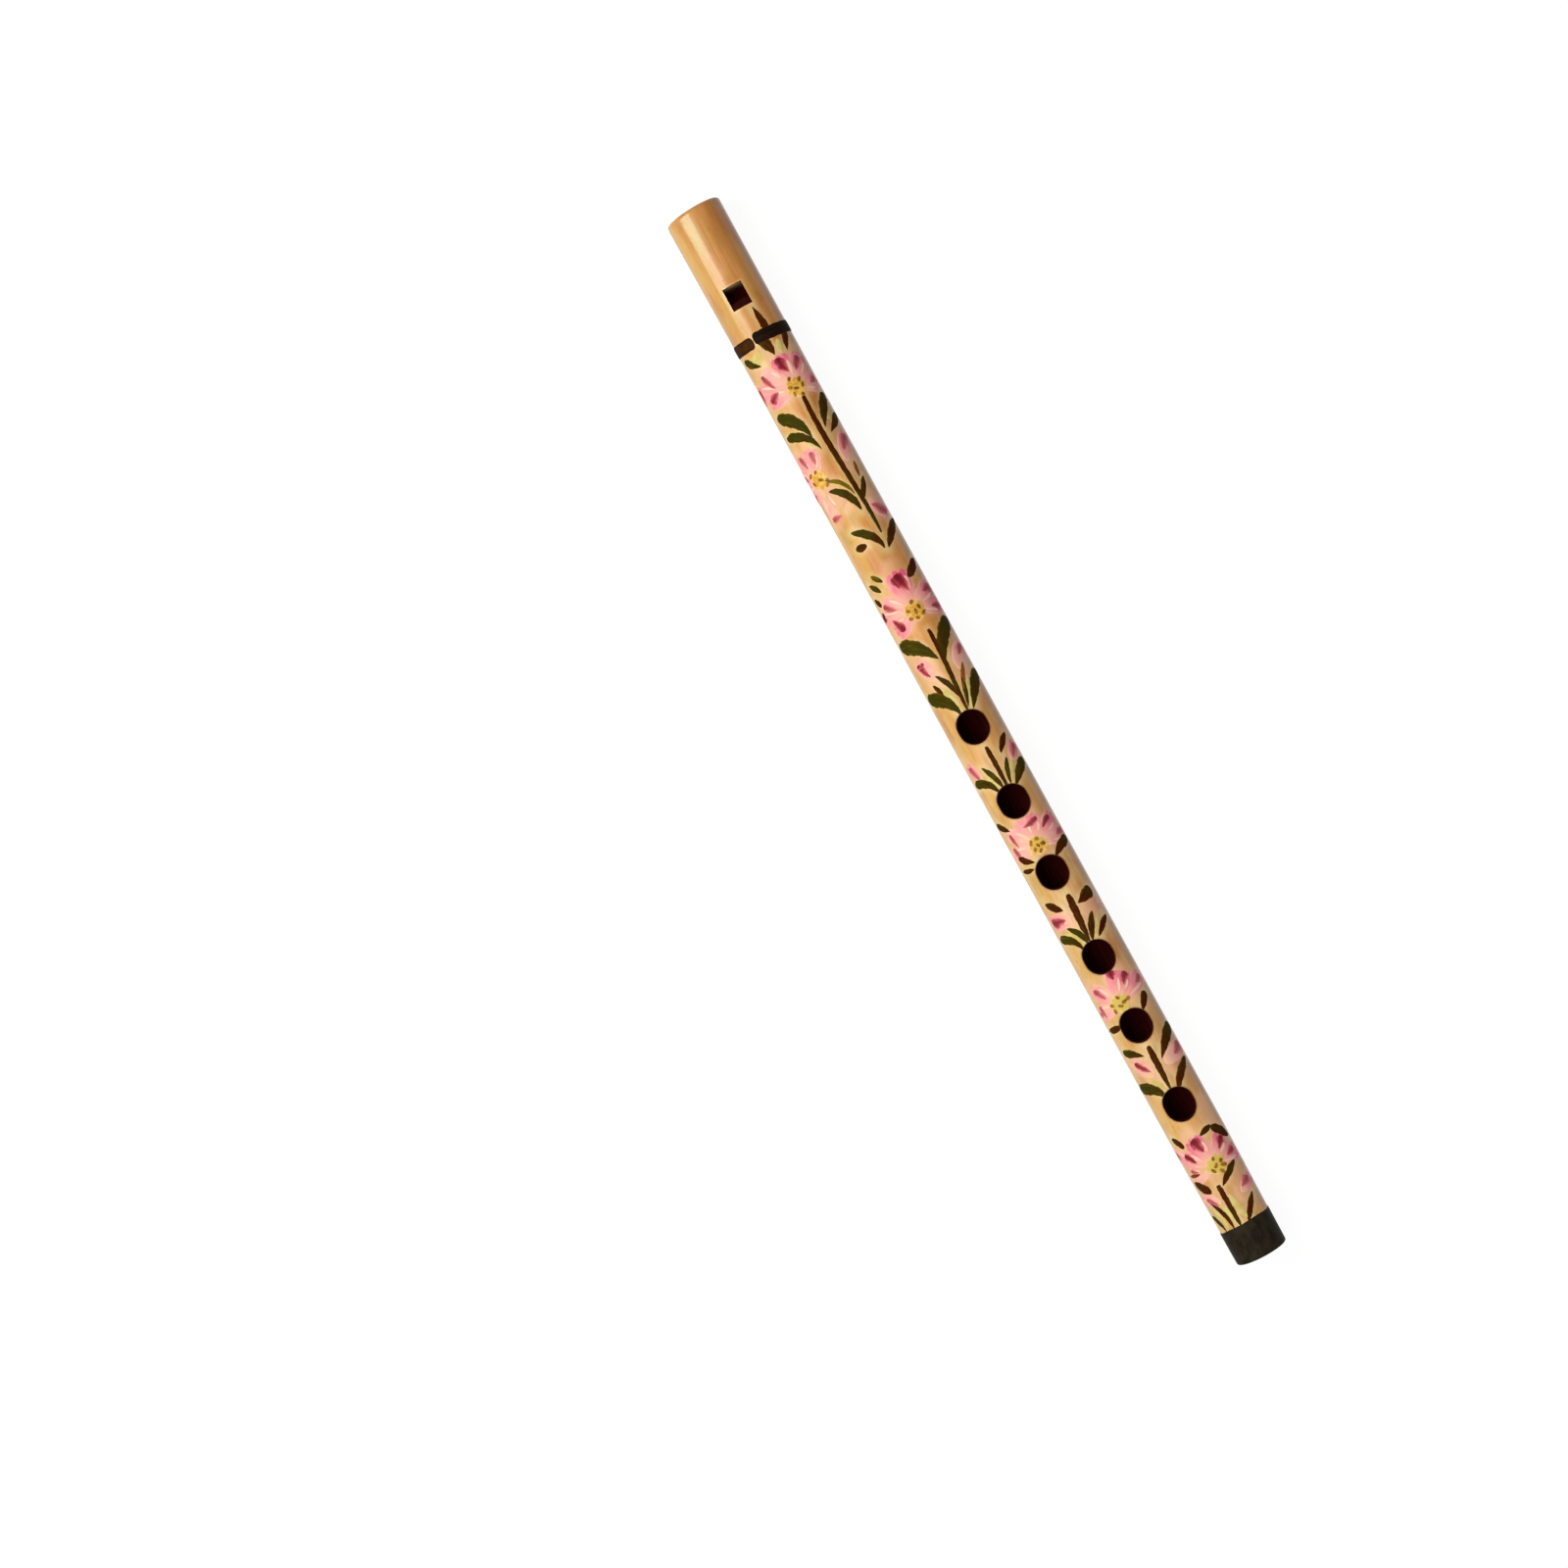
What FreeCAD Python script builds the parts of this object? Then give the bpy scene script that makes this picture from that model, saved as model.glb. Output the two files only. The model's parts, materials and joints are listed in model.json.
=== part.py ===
import FreeCAD, Part
import math
import os

# A six-hole whistle flute made from one length of bamboo. It lies on its back: +X runs from the mouth
# end to the foot, and the window and the finger holes look up along +Z. The origin is under the middle
# of the flute, on the surface that it lies on. Lengths are in millimetres and angles in degrees.

# Bamboo tube: cut between two nodes, so it is plain along its length and only tapers.
# It is stoutest at the mouth, thins quickly as far as the neck, then slowly, and is scraped down at the foot.
tube_length = 338.0
mouth_diameter = 17.2
neck_diameter = 16.7
heel_diameter = 16.3
foot_diameter = 15.3
neck_distance = 60.0
heel_setback = 38.0
mouth_rounding = 1.0
foot_bevel = 0.65
bore_diameter = 12.4
foot_bore_chamfer = 0.2

# Plug: a round peg glued into a slightly reamed seat at the mouth. Its top is pared flat, and the flat
# leaves the windway, a slot under the roof of the seat that narrows towards the window.
plug_length = 25.0
plug_seat_depth = 0.3
plug_glue_gap = 0.03
windway_mouth_height = 1.7
windway_exit_height = 1.1
plug_lip_chamfer = 0.3

# Window: a square hole that starts at the end of the plug. A ramp closes its far side, down to the lip
# that splits the air.
window_length = 7.0
window_width = 6.0
lip_ramp_length = 2.4
lip_thickness = 0.3

# Finger holes: burnt through the front wall at uneven shares of the tube's length. The tapered iron is
# worked a little way along the tube, so each hole is longer than it is wide.
finger_hole_place_shares = (0.4946, 0.5653, 0.6330, 0.7136, 0.7790, 0.8540)
finger_hole_length = 9.8
finger_hole_width = 8.6
finger_hole_throat_width = 8.1

# Neck band: a narrow black strip laid once round behind the window, with ends that don't quite meet
neck_band_setback = 7.9
neck_band_width = 3.9
neck_band_thickness = 0.2
neck_band_gap = 0.7
neck_band_gap_side = 1.4

# Foot band: a wide black band that guards the sawn foot against splitting and fills out its bevelled edge
foot_band_width = 11.6
foot_band_thickness = 0.15
foot_band_rounding = 0.65

# How far a cutting tool runs past the surface that it cuts
overrun = 1.0

# Places nearer than this count as the same
same_place = 0.0001

ORIGIN = FreeCAD.Vector(0, 0, 0)
ALONG = FreeCAD.Vector(1, 0, 0)
ACROSS = FreeCAD.Vector(0, 1, 0)
UP = FreeCAD.Vector(0, 0, 1)
FULL_TURN = 360

bore_radius = bore_diameter / 2
seat_radius = bore_radius + plug_seat_depth
window_end = plug_length + window_length
lip_place = window_end - lip_ramp_length
heel_distance = tube_length - heel_setback
neck_band_start = window_end + neck_band_setback
foot_band_start = tube_length - foot_band_width
clear_radius = mouth_diameter


def tube_radius(x):
    """Outside radius of the bamboo at a distance x from the mouth end."""
    if x < neck_distance:
        share = x / neck_distance
        return (mouth_diameter + (neck_diameter - mouth_diameter) * share) / 2
    if x < heel_distance:
        share = (x - neck_distance) / (heel_distance - neck_distance)
        return (neck_diameter + (heel_diameter - neck_diameter) * share) / 2
    share = (x - heel_distance) / heel_setback
    return (heel_diameter + (foot_diameter - heel_diameter) * share) / 2


def turned(profile):
    """Solid of revolution about the X axis from (x, radius) points, which may start and end on the axis."""
    points = [FreeCAD.Vector(x, 0, radius) for x, radius in profile]
    outline = Part.makePolygon([*points, points[0]])
    return Part.Face(outline).revolve(ORIGIN, ALONG, FULL_TURN)


def rims_at(solid, x):
    """Circular edges of a solid round the X axis at the place x."""
    rims = []
    for edge in solid.Edges:
        if isinstance(edge.Curve, Part.Circle) and abs(edge.Curve.Center.x - x) < same_place:
            rims.append(edge)
    return rims


def bamboo_rod(skin=0):
    """The bamboo's tapering outside as a full rod, sawn square. A skin makes it that much thicker."""
    return turned([
        (0, 0),
        (0, tube_radius(0) + skin),
        (neck_distance, tube_radius(neck_distance) + skin),
        (heel_distance, tube_radius(heel_distance) + skin),
        (tube_length, tube_radius(tube_length) + skin),
        (tube_length, 0),
    ])


def dressed_rod():
    """The rod with its mouth edge rounded for the lips and its foot edge bevelled."""
    rod = bamboo_rod()
    rod = rod.makeFillet(mouth_rounding, rims_at(rod, 0))
    return rod.makeChamfer(foot_bevel, rims_at(rod, tube_length))


def bore_tool():
    """What is drilled from the rod: the plug's seat, the long bore and an eased edge at the foot."""
    chamfer_start = tube_length - foot_bore_chamfer
    return turned([
        (-overrun, 0),
        (-overrun, seat_radius),
        (plug_length, seat_radius),
        (plug_length, bore_radius),
        (chamfer_start, bore_radius),
        (tube_length + overrun, bore_radius + foot_bore_chamfer + overrun),
        (tube_length + overrun, 0),
    ])


def window_tool():
    """A square cutter with a sloping far side, which leaves the ramp and the thin lip."""
    lip_top = bore_radius + lip_thickness
    surface = tube_radius(window_end)
    ramp_run = lip_ramp_length / (surface - lip_top)
    side = -window_width / 2
    corners = [
        FreeCAD.Vector(plug_length, side, 0),
        FreeCAD.Vector(plug_length, side, surface + overrun),
        FreeCAD.Vector(window_end + ramp_run * overrun, side, surface + overrun),
        FreeCAD.Vector(lip_place, side, lip_top),
        FreeCAD.Vector(lip_place, side, 0),
    ]
    return Part.Face(Part.makePolygon([*corners, corners[0]])).extrude(ACROSS * window_width)


def finger_hole_tool(x):
    """The path of the tapered iron: full width at the bamboo's surface, throat width at the bore."""
    surface = tube_radius(x)
    taper = (finger_hole_width - finger_hole_throat_width) / 2 / (surface - bore_radius)
    top_radius = finger_hole_width / 2 + taper * overrun
    height = surface + overrun
    tip_radius = top_radius - taper * height
    travel = finger_hole_length - finger_hole_width
    start = x - travel / 2
    corners = [
        FreeCAD.Vector(start, -tip_radius, 0),
        FreeCAD.Vector(start, -top_radius, height),
        FreeCAD.Vector(start, top_radius, height),
        FreeCAD.Vector(start, tip_radius, 0),
    ]
    path = Part.Face(Part.makePolygon([*corners, corners[0]])).extrude(ALONG * travel)
    irons = [Part.makeCone(tip_radius, top_radius, height, ALONG * place, UP) for place in (start, start + travel)]
    return path.fuse(irons)


def bamboo_tube():
    """The tube: a bored rod with the window and six finger holes through its front wall."""
    tools = [bore_tool(), window_tool()]
    for share in finger_hole_place_shares:
        tools.append(finger_hole_tool(share * tube_length))
    return dressed_rod().cut(tools)


def fipple_plug():
    """The peg, with the windway's floor pared along its top and the floor's end broken by a small bevel."""
    peg_radius = seat_radius - plug_glue_gap
    mouth_floor = seat_radius - windway_mouth_height
    exit_floor = seat_radius - windway_exit_height
    bevel_start = plug_length - plug_lip_chamfer
    climb = (exit_floor - mouth_floor) / plug_length
    clear = seat_radius + overrun
    corners = [
        FreeCAD.Vector(0, -clear, -clear),
        FreeCAD.Vector(0, -clear, mouth_floor),
        FreeCAD.Vector(bevel_start, -clear, mouth_floor + climb * bevel_start),
        FreeCAD.Vector(plug_length, -clear, exit_floor - plug_lip_chamfer),
        FreeCAD.Vector(plug_length, -clear, -clear),
    ]
    pared = Part.Face(Part.makePolygon([*corners, corners[0]])).extrude(ACROSS * (2 * clear))
    return Part.makeCylinder(peg_radius, plug_length, ORIGIN, ALONG).common(pared)


def slice_tool(start, width, angle=FULL_TURN):
    """A disc round the flute that keeps what lies from start over a width, all round or over an angle."""
    return Part.makeCylinder(clear_radius, width, ALONG * start, ALONG, angle)


def neck_band():
    """The strip behind the window. Its gap, which ends at the crest as drawn, is turned to just beside it."""
    strip_radius = tube_radius(neck_band_start)
    open_angle = math.degrees(neck_band_gap / strip_radius)
    side_angle = math.degrees(neck_band_gap_side / strip_radius)
    reach = slice_tool(neck_band_start, neck_band_width, FULL_TURN - open_angle)
    strip = bamboo_rod(neck_band_thickness).common(reach).cut(dressed_rod())
    strip.rotate(ORIGIN, ALONG, open_angle / 2 + side_angle)
    return strip


def foot_band():
    """The band round the foot, flush with the sawn face, with a rounded lower edge."""
    sleeve = bamboo_rod(foot_band_thickness)
    sleeve = sleeve.makeFillet(foot_band_rounding, rims_at(sleeve, tube_length))
    return sleeve.common(slice_tool(foot_band_start, foot_band_width)).cut(dressed_rod())


def main():
    pieces = {
        "bamboo_tube": bamboo_tube(),
        "fipple_plug": fipple_plug(),
        "neck_band": neck_band(),
        "foot_band": foot_band(),
    }
    lowest = min(piece.optimalBoundingBox(False).ZMin for piece in pieces.values())
    os.makedirs("parts", exist_ok=True)
    for name, piece in pieces.items():
        piece.translate(FreeCAD.Vector(-tube_length / 2, 0, -lowest))
        print(name, "solids", len(piece.Solids), "valid", piece.isValid(), "volume", round(piece.Volume, 1))
        piece.exportStep(f"parts/{name}.step")


main()
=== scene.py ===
import json
import math

import bmesh
import bpy
import numpy as np
from mathutils import Matrix, Vector


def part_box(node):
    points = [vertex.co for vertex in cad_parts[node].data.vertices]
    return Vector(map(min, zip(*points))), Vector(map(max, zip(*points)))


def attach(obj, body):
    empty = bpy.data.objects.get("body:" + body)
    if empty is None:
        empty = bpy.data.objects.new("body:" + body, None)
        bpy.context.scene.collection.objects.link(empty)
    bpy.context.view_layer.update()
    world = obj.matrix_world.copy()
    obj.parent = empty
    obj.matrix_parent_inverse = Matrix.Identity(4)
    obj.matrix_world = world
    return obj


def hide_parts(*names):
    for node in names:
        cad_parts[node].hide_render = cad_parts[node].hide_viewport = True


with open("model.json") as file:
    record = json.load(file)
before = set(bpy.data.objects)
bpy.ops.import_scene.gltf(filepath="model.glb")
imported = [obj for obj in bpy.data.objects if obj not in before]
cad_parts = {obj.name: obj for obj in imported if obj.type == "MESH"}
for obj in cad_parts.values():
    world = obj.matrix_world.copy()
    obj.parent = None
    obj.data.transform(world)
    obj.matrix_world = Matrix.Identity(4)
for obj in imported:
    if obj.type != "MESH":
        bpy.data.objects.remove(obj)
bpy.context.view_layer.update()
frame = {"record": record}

# View
# The camera looks almost straight down on the flute, from a little behind its row of holes. The flute
# runs across the picture from upper left to lower right. Pixels are those of a 1600 by 1600 picture.
MM = 0.001
picture_side = 1600
mouth_pixel = Vector((706, 219))
foot_pixel = Vector((1285, 1277))
middle_pixel = Vector((996.9, 746.6))
mm_per_pixel = 0.279
lens_mm = 80
sensor_mm = 36
near_clip = 0.01
behind_holes = math.radians(5.8)

tube_low, tube_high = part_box("bamboo_tube")
flute_middle = (tube_low + tube_high) / 2
run = (foot_pixel - mouth_pixel).normalized()
aside = Vector((-run.y, run.x))
back = Vector((0, math.sin(behind_holes), math.cos(behind_holes)))
along = Vector((1, 0, 0))
across = along.cross(back)
right = along * run.x + across * aside.x
up = -(along * run.y + across * aside.y)
shift = (middle_pixel - Vector((picture_side / 2, picture_side / 2))) * mm_per_pixel * MM
distance = lens_mm / sensor_mm * picture_side * mm_per_pixel * MM

camera = bpy.data.objects.new("camera", bpy.data.cameras.new("camera"))
camera.data.lens = lens_mm
camera.data.sensor_width = sensor_mm
camera.data.clip_start = near_clip
place = flute_middle + back * distance - right * shift.x + up * shift.y
camera.matrix_world = Matrix.Translation(place) @ Matrix((right, up, back)).transposed().to_4x4()
bpy.context.scene.collection.objects.link(camera)
bpy.context.scene.camera = camera

# Bamboo tube
# One length of thin-walled cane cut between two nodes, scraped, stained and varnished. The window is cut
# with a knife down to a thin lip, and the six finger holes are burnt through with a hot tapered iron.
tube_length = (tube_high.x - tube_low.x) / MM
mouth_radius = (tube_high.y - tube_low.y) / 2 / MM
neck_radius = 8.35
heel_radius = 8.15
foot_radius = 7.65
neck_distance = 60.0
heel_distance = tube_length - 38.0
bore_radius = 6.2
seat_radius = 6.5
mouth_rounding = 1.0
foot_bevel = 0.65
bore_chamfer = 0.2
skin_wave = 0.045
ripple_share = 0.35
groove_share = 0.2
wave_room = 1.6
mouth_slant = 0.045
mouth_slant_reach = 7.0
plug_length = 25.0
seat_step = 0.05
window_length = 7.0
window_half_width = 3.0
ramp_length = 2.4
window_end = plug_length + window_length
lip_x = window_end - ramp_length
lip_height = bore_radius + 0.3
near_wall_rise = 0.35
hole_radius = 4.3
hole_throat_radius = 4.05
hole_reach = 0.6
hole_softening = 0.22
lines = 96
station_gap = 0.9
window_margin = 1.8
window_half_lines = 13
hole_margin = 7.0
hole_half_lines = 18
opening_rings = 7
ring_crowding = 1.5

openings = frame["record"]["physics"]["openings"]
hole_places = []
for opening in openings:
    low_corner, high_corner = opening["box_m"]
    if opening["name"].startswith("finger_hole") and not opening["name"].endswith("across"):
        hole_places.append(((low_corner[0] + high_corner[0]) / 2 - tube_low.x) / MM)


def plain_radius(x):
    """Outside radius of the cane in millimetres at x from the mouth, before its small waves."""
    places = (0, neck_distance, heel_distance, tube_length)
    return np.interp(x, places, (mouth_radius, neck_radius, heel_radius, foot_radius))


def skin_radius(x, turn):
    """Outside radius at x from the mouth and turn from the crest. Real cane is never quite round."""
    sway = np.sin(x / 19 + 1.7 * np.sin(turn)) * np.cos(2 * turn + x / 47)
    ripple = np.sin(x / 6.3 + 2.4 * np.cos(turn)) * np.sin(3 * turn + x / 15)
    grooves = np.sin(17 * turn + 1.5 * np.sin(x / 31))
    return plain_radius(x) - skin_wave * (wave_room + sway + ripple_share * ripple + groove_share * grooves)


def inner_radius(x):
    """Radius of the bore, which is a little wider where the plug is seated."""
    return np.interp(x, (plug_length, plug_length + seat_step), (seat_radius, bore_radius))


def to_world(x, y, z):
    """World points from millimetres: x from the mouth, y and z from the flute's axis.

    The mouth end is sawn a little askew, so everything near it leans by as much.
    """
    askew = mouth_slant * (mouth_radius - y) * np.clip(1 - x / mouth_slant_reach, 0, 1)
    return np.stack([tube_low.x + (x + askew) * MM, y * MM, flute_middle.z + z * MM], axis=-1)


def round_points(x, turn, radius):
    """World points at x from the mouth, a turn from the crest towards -Y, and a radius."""
    x, turn, radius = np.broadcast_arrays(x, turn, radius)
    return to_world(x, -radius * np.sin(turn), radius * np.cos(turn))


def build_piece(name, points, faces, caps=(), face_materials=None, sharp=40):
    """Makes a smooth mesh object from world points, quads and a few end caps of more sides.

    Edges bent by more than sharp degrees stay crisp. Also gives the numbers of the points that were used.
    """
    used, renumbered = np.unique(faces, return_inverse=True)
    mesh = bpy.data.meshes.new(name)
    all_faces = renumbered.reshape(faces.shape).tolist() + np.searchsorted(used, caps).tolist()
    mesh.from_pydata(points[used].tolist(), [], all_faces)
    if face_materials is not None:
        mesh.polygons.foreach_set("material_index", face_materials)
    form = bmesh.new()
    form.from_mesh(mesh)
    bmesh.ops.recalc_face_normals(form, faces=form.faces)
    form.to_mesh(mesh)
    form.free()
    mesh.shade_smooth()
    mesh.set_sharp_from_angle(angle=math.radians(sharp))
    piece = bpy.data.objects.new(name, mesh)
    bpy.context.scene.collection.objects.link(piece)
    return piece, used


def grid_quads(numbers, closed=False):
    """Quads between the neighbours of a grid of point numbers, closed round its second axis or not."""
    if closed:
        numbers = np.concatenate([numbers, numbers[:, :1]], axis=1)
    corners = (numbers[:-1, :-1], numbers[1:, :-1], numbers[1:, 1:], numbers[:-1, 1:])
    return np.stack(corners, axis=-1)


# The rings of points along the tube, with one at each of these marks
marks = [mouth_rounding, plug_length - window_margin, plug_length, plug_length + seat_step]
marks.append(window_end + window_margin)
for hole_x in hole_places:
    marks += [hole_x - hole_margin, hole_x + hole_margin]
marks.append(tube_length - foot_bevel)
stations = [marks[0]]
for start, end in zip(marks, marks[1:]):
    count = max(1, round((end - start) / station_gap))
    stations += list(np.linspace(start, end, count + 1)[1:])
stations = np.array(stations)
turns = np.arange(lines) * 2 * np.pi / lines
first_skin = skin_radius(mouth_rounding, turns)
last_skin = skin_radius(tube_length - foot_bevel, turns)

SKIN, SAWN, WALLS_CHAR_AND_SHADE, BORE = range(4)
rows = []
row_materials = []


def add_row(x, radii, material):
    """Adds one ring of points round the tube. The material is that of the faces after it."""
    rows.append(round_points(x, turns, radii))
    row_materials.append(material)


for share in (0, 0.3, 0.65):
    add_row(0, seat_radius + (first_skin - mouth_rounding - seat_radius) * share, SAWN)
for angle in np.radians((0, 18, 36, 54, 72)):
    x = mouth_rounding * (1 - math.cos(angle))
    add_row(x, first_skin - mouth_rounding * (1 - math.sin(angle)), SKIN)
outer_start = len(rows)
for x in stations:
    add_row(x, skin_radius(x, turns), SKIN)
foot_inner = bore_radius + bore_chamfer
foot_outer = last_skin - foot_bevel
for share in (0, 0.5):
    add_row(tube_length, foot_outer + (foot_inner - foot_outer) * share, SAWN)
add_row(tube_length, foot_inner, BORE)
add_row(tube_length - bore_chamfer, bore_radius, BORE)
inner_start = len(rows)
for x in stations[::-1]:
    add_row(x, inner_radius(x), BORE)
row_numbers = np.arange(len(rows) * lines).reshape(-1, lines)
tube_points = [np.concatenate(rows)]
tube_faces = []
tube_face_materials = []
row_quads = grid_quads(np.concatenate([row_numbers, row_numbers[:1]]), closed=True)
kept = np.ones(row_quads.shape[:2], bool)


def add_points(points):
    """Adds more points to the tube and gives their numbers."""
    start = sum(len(block) for block in tube_points)
    tube_points.append(points.reshape(-1, 3))
    return np.arange(start, start + len(tube_points[-1])).reshape(points.shape[:-1])


def add_faces(numbers, material):
    """Joins rings of point numbers with faces of one material."""
    quads = grid_quads(numbers, closed=True).reshape(-1, 4)
    tube_faces.append(quads)
    tube_face_materials.append(np.full(len(quads), material))


def cut_opening(low_x, high_x, half_lines, outer_rim, wall, inner_rim):
    """Leaves a rectangle out of the skin and the bore, and fills it with rings that close on an opening."""
    first = int(np.argmin(abs(stations - low_x)))
    last = int(np.argmin(abs(stations - high_x)))
    ups = range(first, last)
    rounds = range(-half_lines, half_lines)
    border = [(i, -half_lines) for i in ups] + [(last, j) for j in rounds]
    border += [(i + 1, half_lines) for i in reversed(ups)] + [(first, -j) for j in rounds]
    border = np.array(border)
    station, line = border.T
    lengthways = 2 * (station - first) / (last - first) - 1
    sideways = line / half_lines
    kept[outer_start + first:outer_start + last, np.arange(-half_lines, half_lines)] = False
    inner_last = inner_start + len(stations) - 1
    kept[inner_last - last:inner_last - first, np.arange(-half_lines, half_lines)] = False
    shares = 1 - (1 - np.arange(1, opening_rings + 1)[:, None] / opening_rings) ** ring_crowding
    layers = []
    for row_of_border, rim, radius_at in (
        (outer_start + station, outer_rim, skin_radius),
        (inner_last - station, inner_rim, lambda x, turn: inner_radius(x)),
    ):
        rim_x, rim_turn = rim(lengthways, sideways)
        x = stations[station] + (rim_x - stations[station]) * shares
        border_turn = line * 2 * np.pi / lines
        turn = border_turn + (rim_turn - border_turn) * shares
        numbers = add_points(round_points(x, turn, radius_at(x, turn)))
        layers.append(np.concatenate([row_numbers[row_of_border, line][None], numbers]))
    add_faces(layers[0], SKIN)
    add_faces(layers[1], BORE)
    wall_numbers = add_points(wall(lengthways, sideways))
    # The walls of the window and of the holes take the near-black char colour, which on the window walls is
    # painted shade
    add_faces(np.concatenate([layers[0][-1:], wall_numbers, layers[1][-1:]]), WALLS_CHAR_AND_SHADE)


def height_on(radius, y):
    """Height over the axis of a round surface at y."""
    return np.sqrt(np.maximum(radius ** 2 - y ** 2, 0))


def window_rim(lengthways, sideways):
    """The window's square edge in the skin."""
    x = plug_length + (lengthways + 1) / 2 * window_length
    return x, np.arcsin(sideways * window_half_width / plain_radius(x))


def window_inner_rim(lengthways, sideways):
    """The window's lower edge in the bore, whose far side is the lip."""
    x = plug_length + (lengthways + 1) / 2 * (lip_x - plug_length)
    return x, np.arcsin(sideways * window_half_width / inner_radius(x))


def window_wall(lengthways, sideways):
    """Rows of points down the window's walls. The far wall is the ramp that falls to the lip."""
    y = -sideways * window_half_width
    reach = (lengthways + 1) / 2
    top_x = plug_length + reach * window_length
    low_x = plug_length + reach * (lip_x - plug_length)
    low_z = lip_height + near_wall_rise * (1 - reach)
    top_z = height_on(plain_radius(top_x) - skin_wave, y)
    levels = []
    for share in (0.04, 0.35, 0.7, 1):
        levels.append(to_world(top_x + (low_x - top_x) * share, y, top_z + (low_z - top_z) * share))
    return np.stack(levels)


cut_opening(
    plug_length - window_margin, window_end + window_margin, window_half_lines,
    window_rim, window_wall, window_inner_rim)

# Rings down the wall of a finger hole. First how far each stands out into the softened edge, or with a
# minus in towards the throat, as a share of that. Then how deep it lies, as a share of the wall.
hole_wall_shares = ((0.32, 0.015), (0.06, 0.045), (0, 0.12), (-0.3, 0.4), (-0.7, 0.72))


def hole_rings(hole_x):
    """The rims and the wall of the finger hole at hole_x, which is drawn out a little along the tube."""
    def places(radius, lengthways, sideways):
        around = np.arctan2(sideways, lengthways)
        return hole_x + radius * np.cos(around) + hole_reach * np.sign(lengthways), radius * np.sin(around)

    def rim_of(radius, surface):
        def rim(lengthways, sideways):
            x, aside = places(radius, lengthways, sideways)
            return x, np.arcsin(aside / surface(hole_x))
        return rim

    def wall(lengthways, sideways):
        levels = []
        for outset, depth in hole_wall_shares:
            inset = (hole_radius - hole_throat_radius) * min(outset, 0)
            x, aside = places(hole_radius + hole_softening * max(outset, 0) + inset, lengthways, sideways)
            top = height_on(skin_radius(x, np.arcsin(aside / plain_radius(x))), aside)
            levels.append(to_world(x, -aside, top + (height_on(bore_radius, aside) - top) * depth))
        return np.stack(levels)

    outer_rim = rim_of(hole_radius + hole_softening, plain_radius)
    return outer_rim, wall, rim_of(hole_throat_radius, inner_radius)


for hole_x in hole_places:
    cut_opening(hole_x - hole_margin, hole_x + hole_margin, hole_half_lines, *hole_rings(hole_x))

tube_faces.append(row_quads[kept])
tube_face_materials.append(np.repeat(row_materials, lines).reshape(-1, lines)[kept])


class Wire:
    """A node's output. Sums on wires add Math nodes, so that a material can be written as an expression."""

    def __init__(self, finish, socket):
        self.finish = finish
        self.socket = socket

    def math(self, operation, first, second=0.0):
        return self.finish.node("ShaderNodeMath", {"operation": operation}, {0: first, 1: second})

    def __add__(self, other):
        return self.math("ADD", self, other)

    def __radd__(self, other):
        return self.math("ADD", other, self)

    def __sub__(self, other):
        return self.math("SUBTRACT", self, other)

    def __rsub__(self, other):
        return self.math("SUBTRACT", other, self)

    def __mul__(self, other):
        return self.math("MULTIPLY", self, other)

    def __pow__(self, other):
        return self.math("POWER", self, other)

    def __abs__(self):
        return self.math("ABSOLUTE", self)

    def sine(self):
        return self.math("SINE", self)

    def rise(self, low, high):
        """0 below low, 1 above high, and a smooth rise between. With low above high it falls instead."""
        settings = {"interpolation_type": "SMOOTHSTEP"}
        return self.finish.node("ShaderNodeMapRange", settings, {0: self, 1: low, 2: high})


class Finish:
    """A material or world under construction, and the one way in which its nodes are added."""

    def __init__(self, owner):
        owner.use_nodes = True
        self.owner = owner
        self.tree = owner.node_tree
        self.tree.nodes.clear()

    def node(self, kind, settings, sockets, output=0):
        """Adds a node: its settings first, then the values or links of its sockets."""
        made = self.tree.nodes.new(kind)
        for name, value in settings.items():
            setattr(made, name, value)
        for name, value in sockets.items():
            if isinstance(value, Wire):
                self.tree.links.new(value.socket, made.inputs[name])
            else:
                made.inputs[name].default_value = value
        return Wire(self, made.outputs[output]) if made.outputs else None

    def millimetres(self):
        """The place on the object in millimetres."""
        metres = self.node("ShaderNodeTexCoord", {}, {}, "Object")
        return self.stretched(metres, (1 / MM, 1 / MM, 1 / MM))

    def stretched(self, vector, factors):
        return self.node("ShaderNodeVectorMath", {"operation": "MULTIPLY"}, {0: vector, 1: factors})

    def grain(self, vector, per_mm, detail=2.0, roughness=0.5):
        """Noise with so many features in a millimetre along each axis."""
        sockets = {"Vector": self.stretched(vector, per_mm), "Scale": 1.0, "Detail": detail}
        return self.node("ShaderNodeTexNoise", {}, {**sockets, "Roughness": roughness})

    def measure(self, name, part=None):
        """A value that the mesh holds at each point, or one part of a vector that it holds."""
        if part is None:
            return self.node("ShaderNodeAttribute", {"attribute_name": name}, {}, "Fac")
        vector = self.node("ShaderNodeAttribute", {"attribute_name": name}, {}, "Vector")
        return vector if part == "all" else self.node("ShaderNodeSeparateXYZ", {}, {0: vector}, part)

    def blend(self, share, first, second):
        """From the first colour to the second as share goes from 0 to 1."""
        settings = {"data_type": "RGBA", "clamp_factor": True}
        return self.node("ShaderNodeMix", settings, {0: share, 6: first, 7: second}, 2)

    def coats(self, color, *layers):
        """Lays more colours over the first one, each by its own share."""
        for share, layer in layers:
            color = self.blend(share, color, layer)
        return color

    def surface(self, constants, color, roughness, bump, bump_mm):
        """Ends the material in a Principled shader. Constants are set on its other sockets."""
        relief = {"Strength": 1.0, "Distance": bump_mm * MM, "Height": bump}
        normal = self.node("ShaderNodeBump", {}, relief)
        sockets = {**constants, "Base Color": color, "Roughness": roughness, "Normal": normal}
        shader = self.node("ShaderNodeBsdfPrincipled", {}, sockets)
        self.node("ShaderNodeOutputMaterial", {}, {"Surface": shader})


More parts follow.
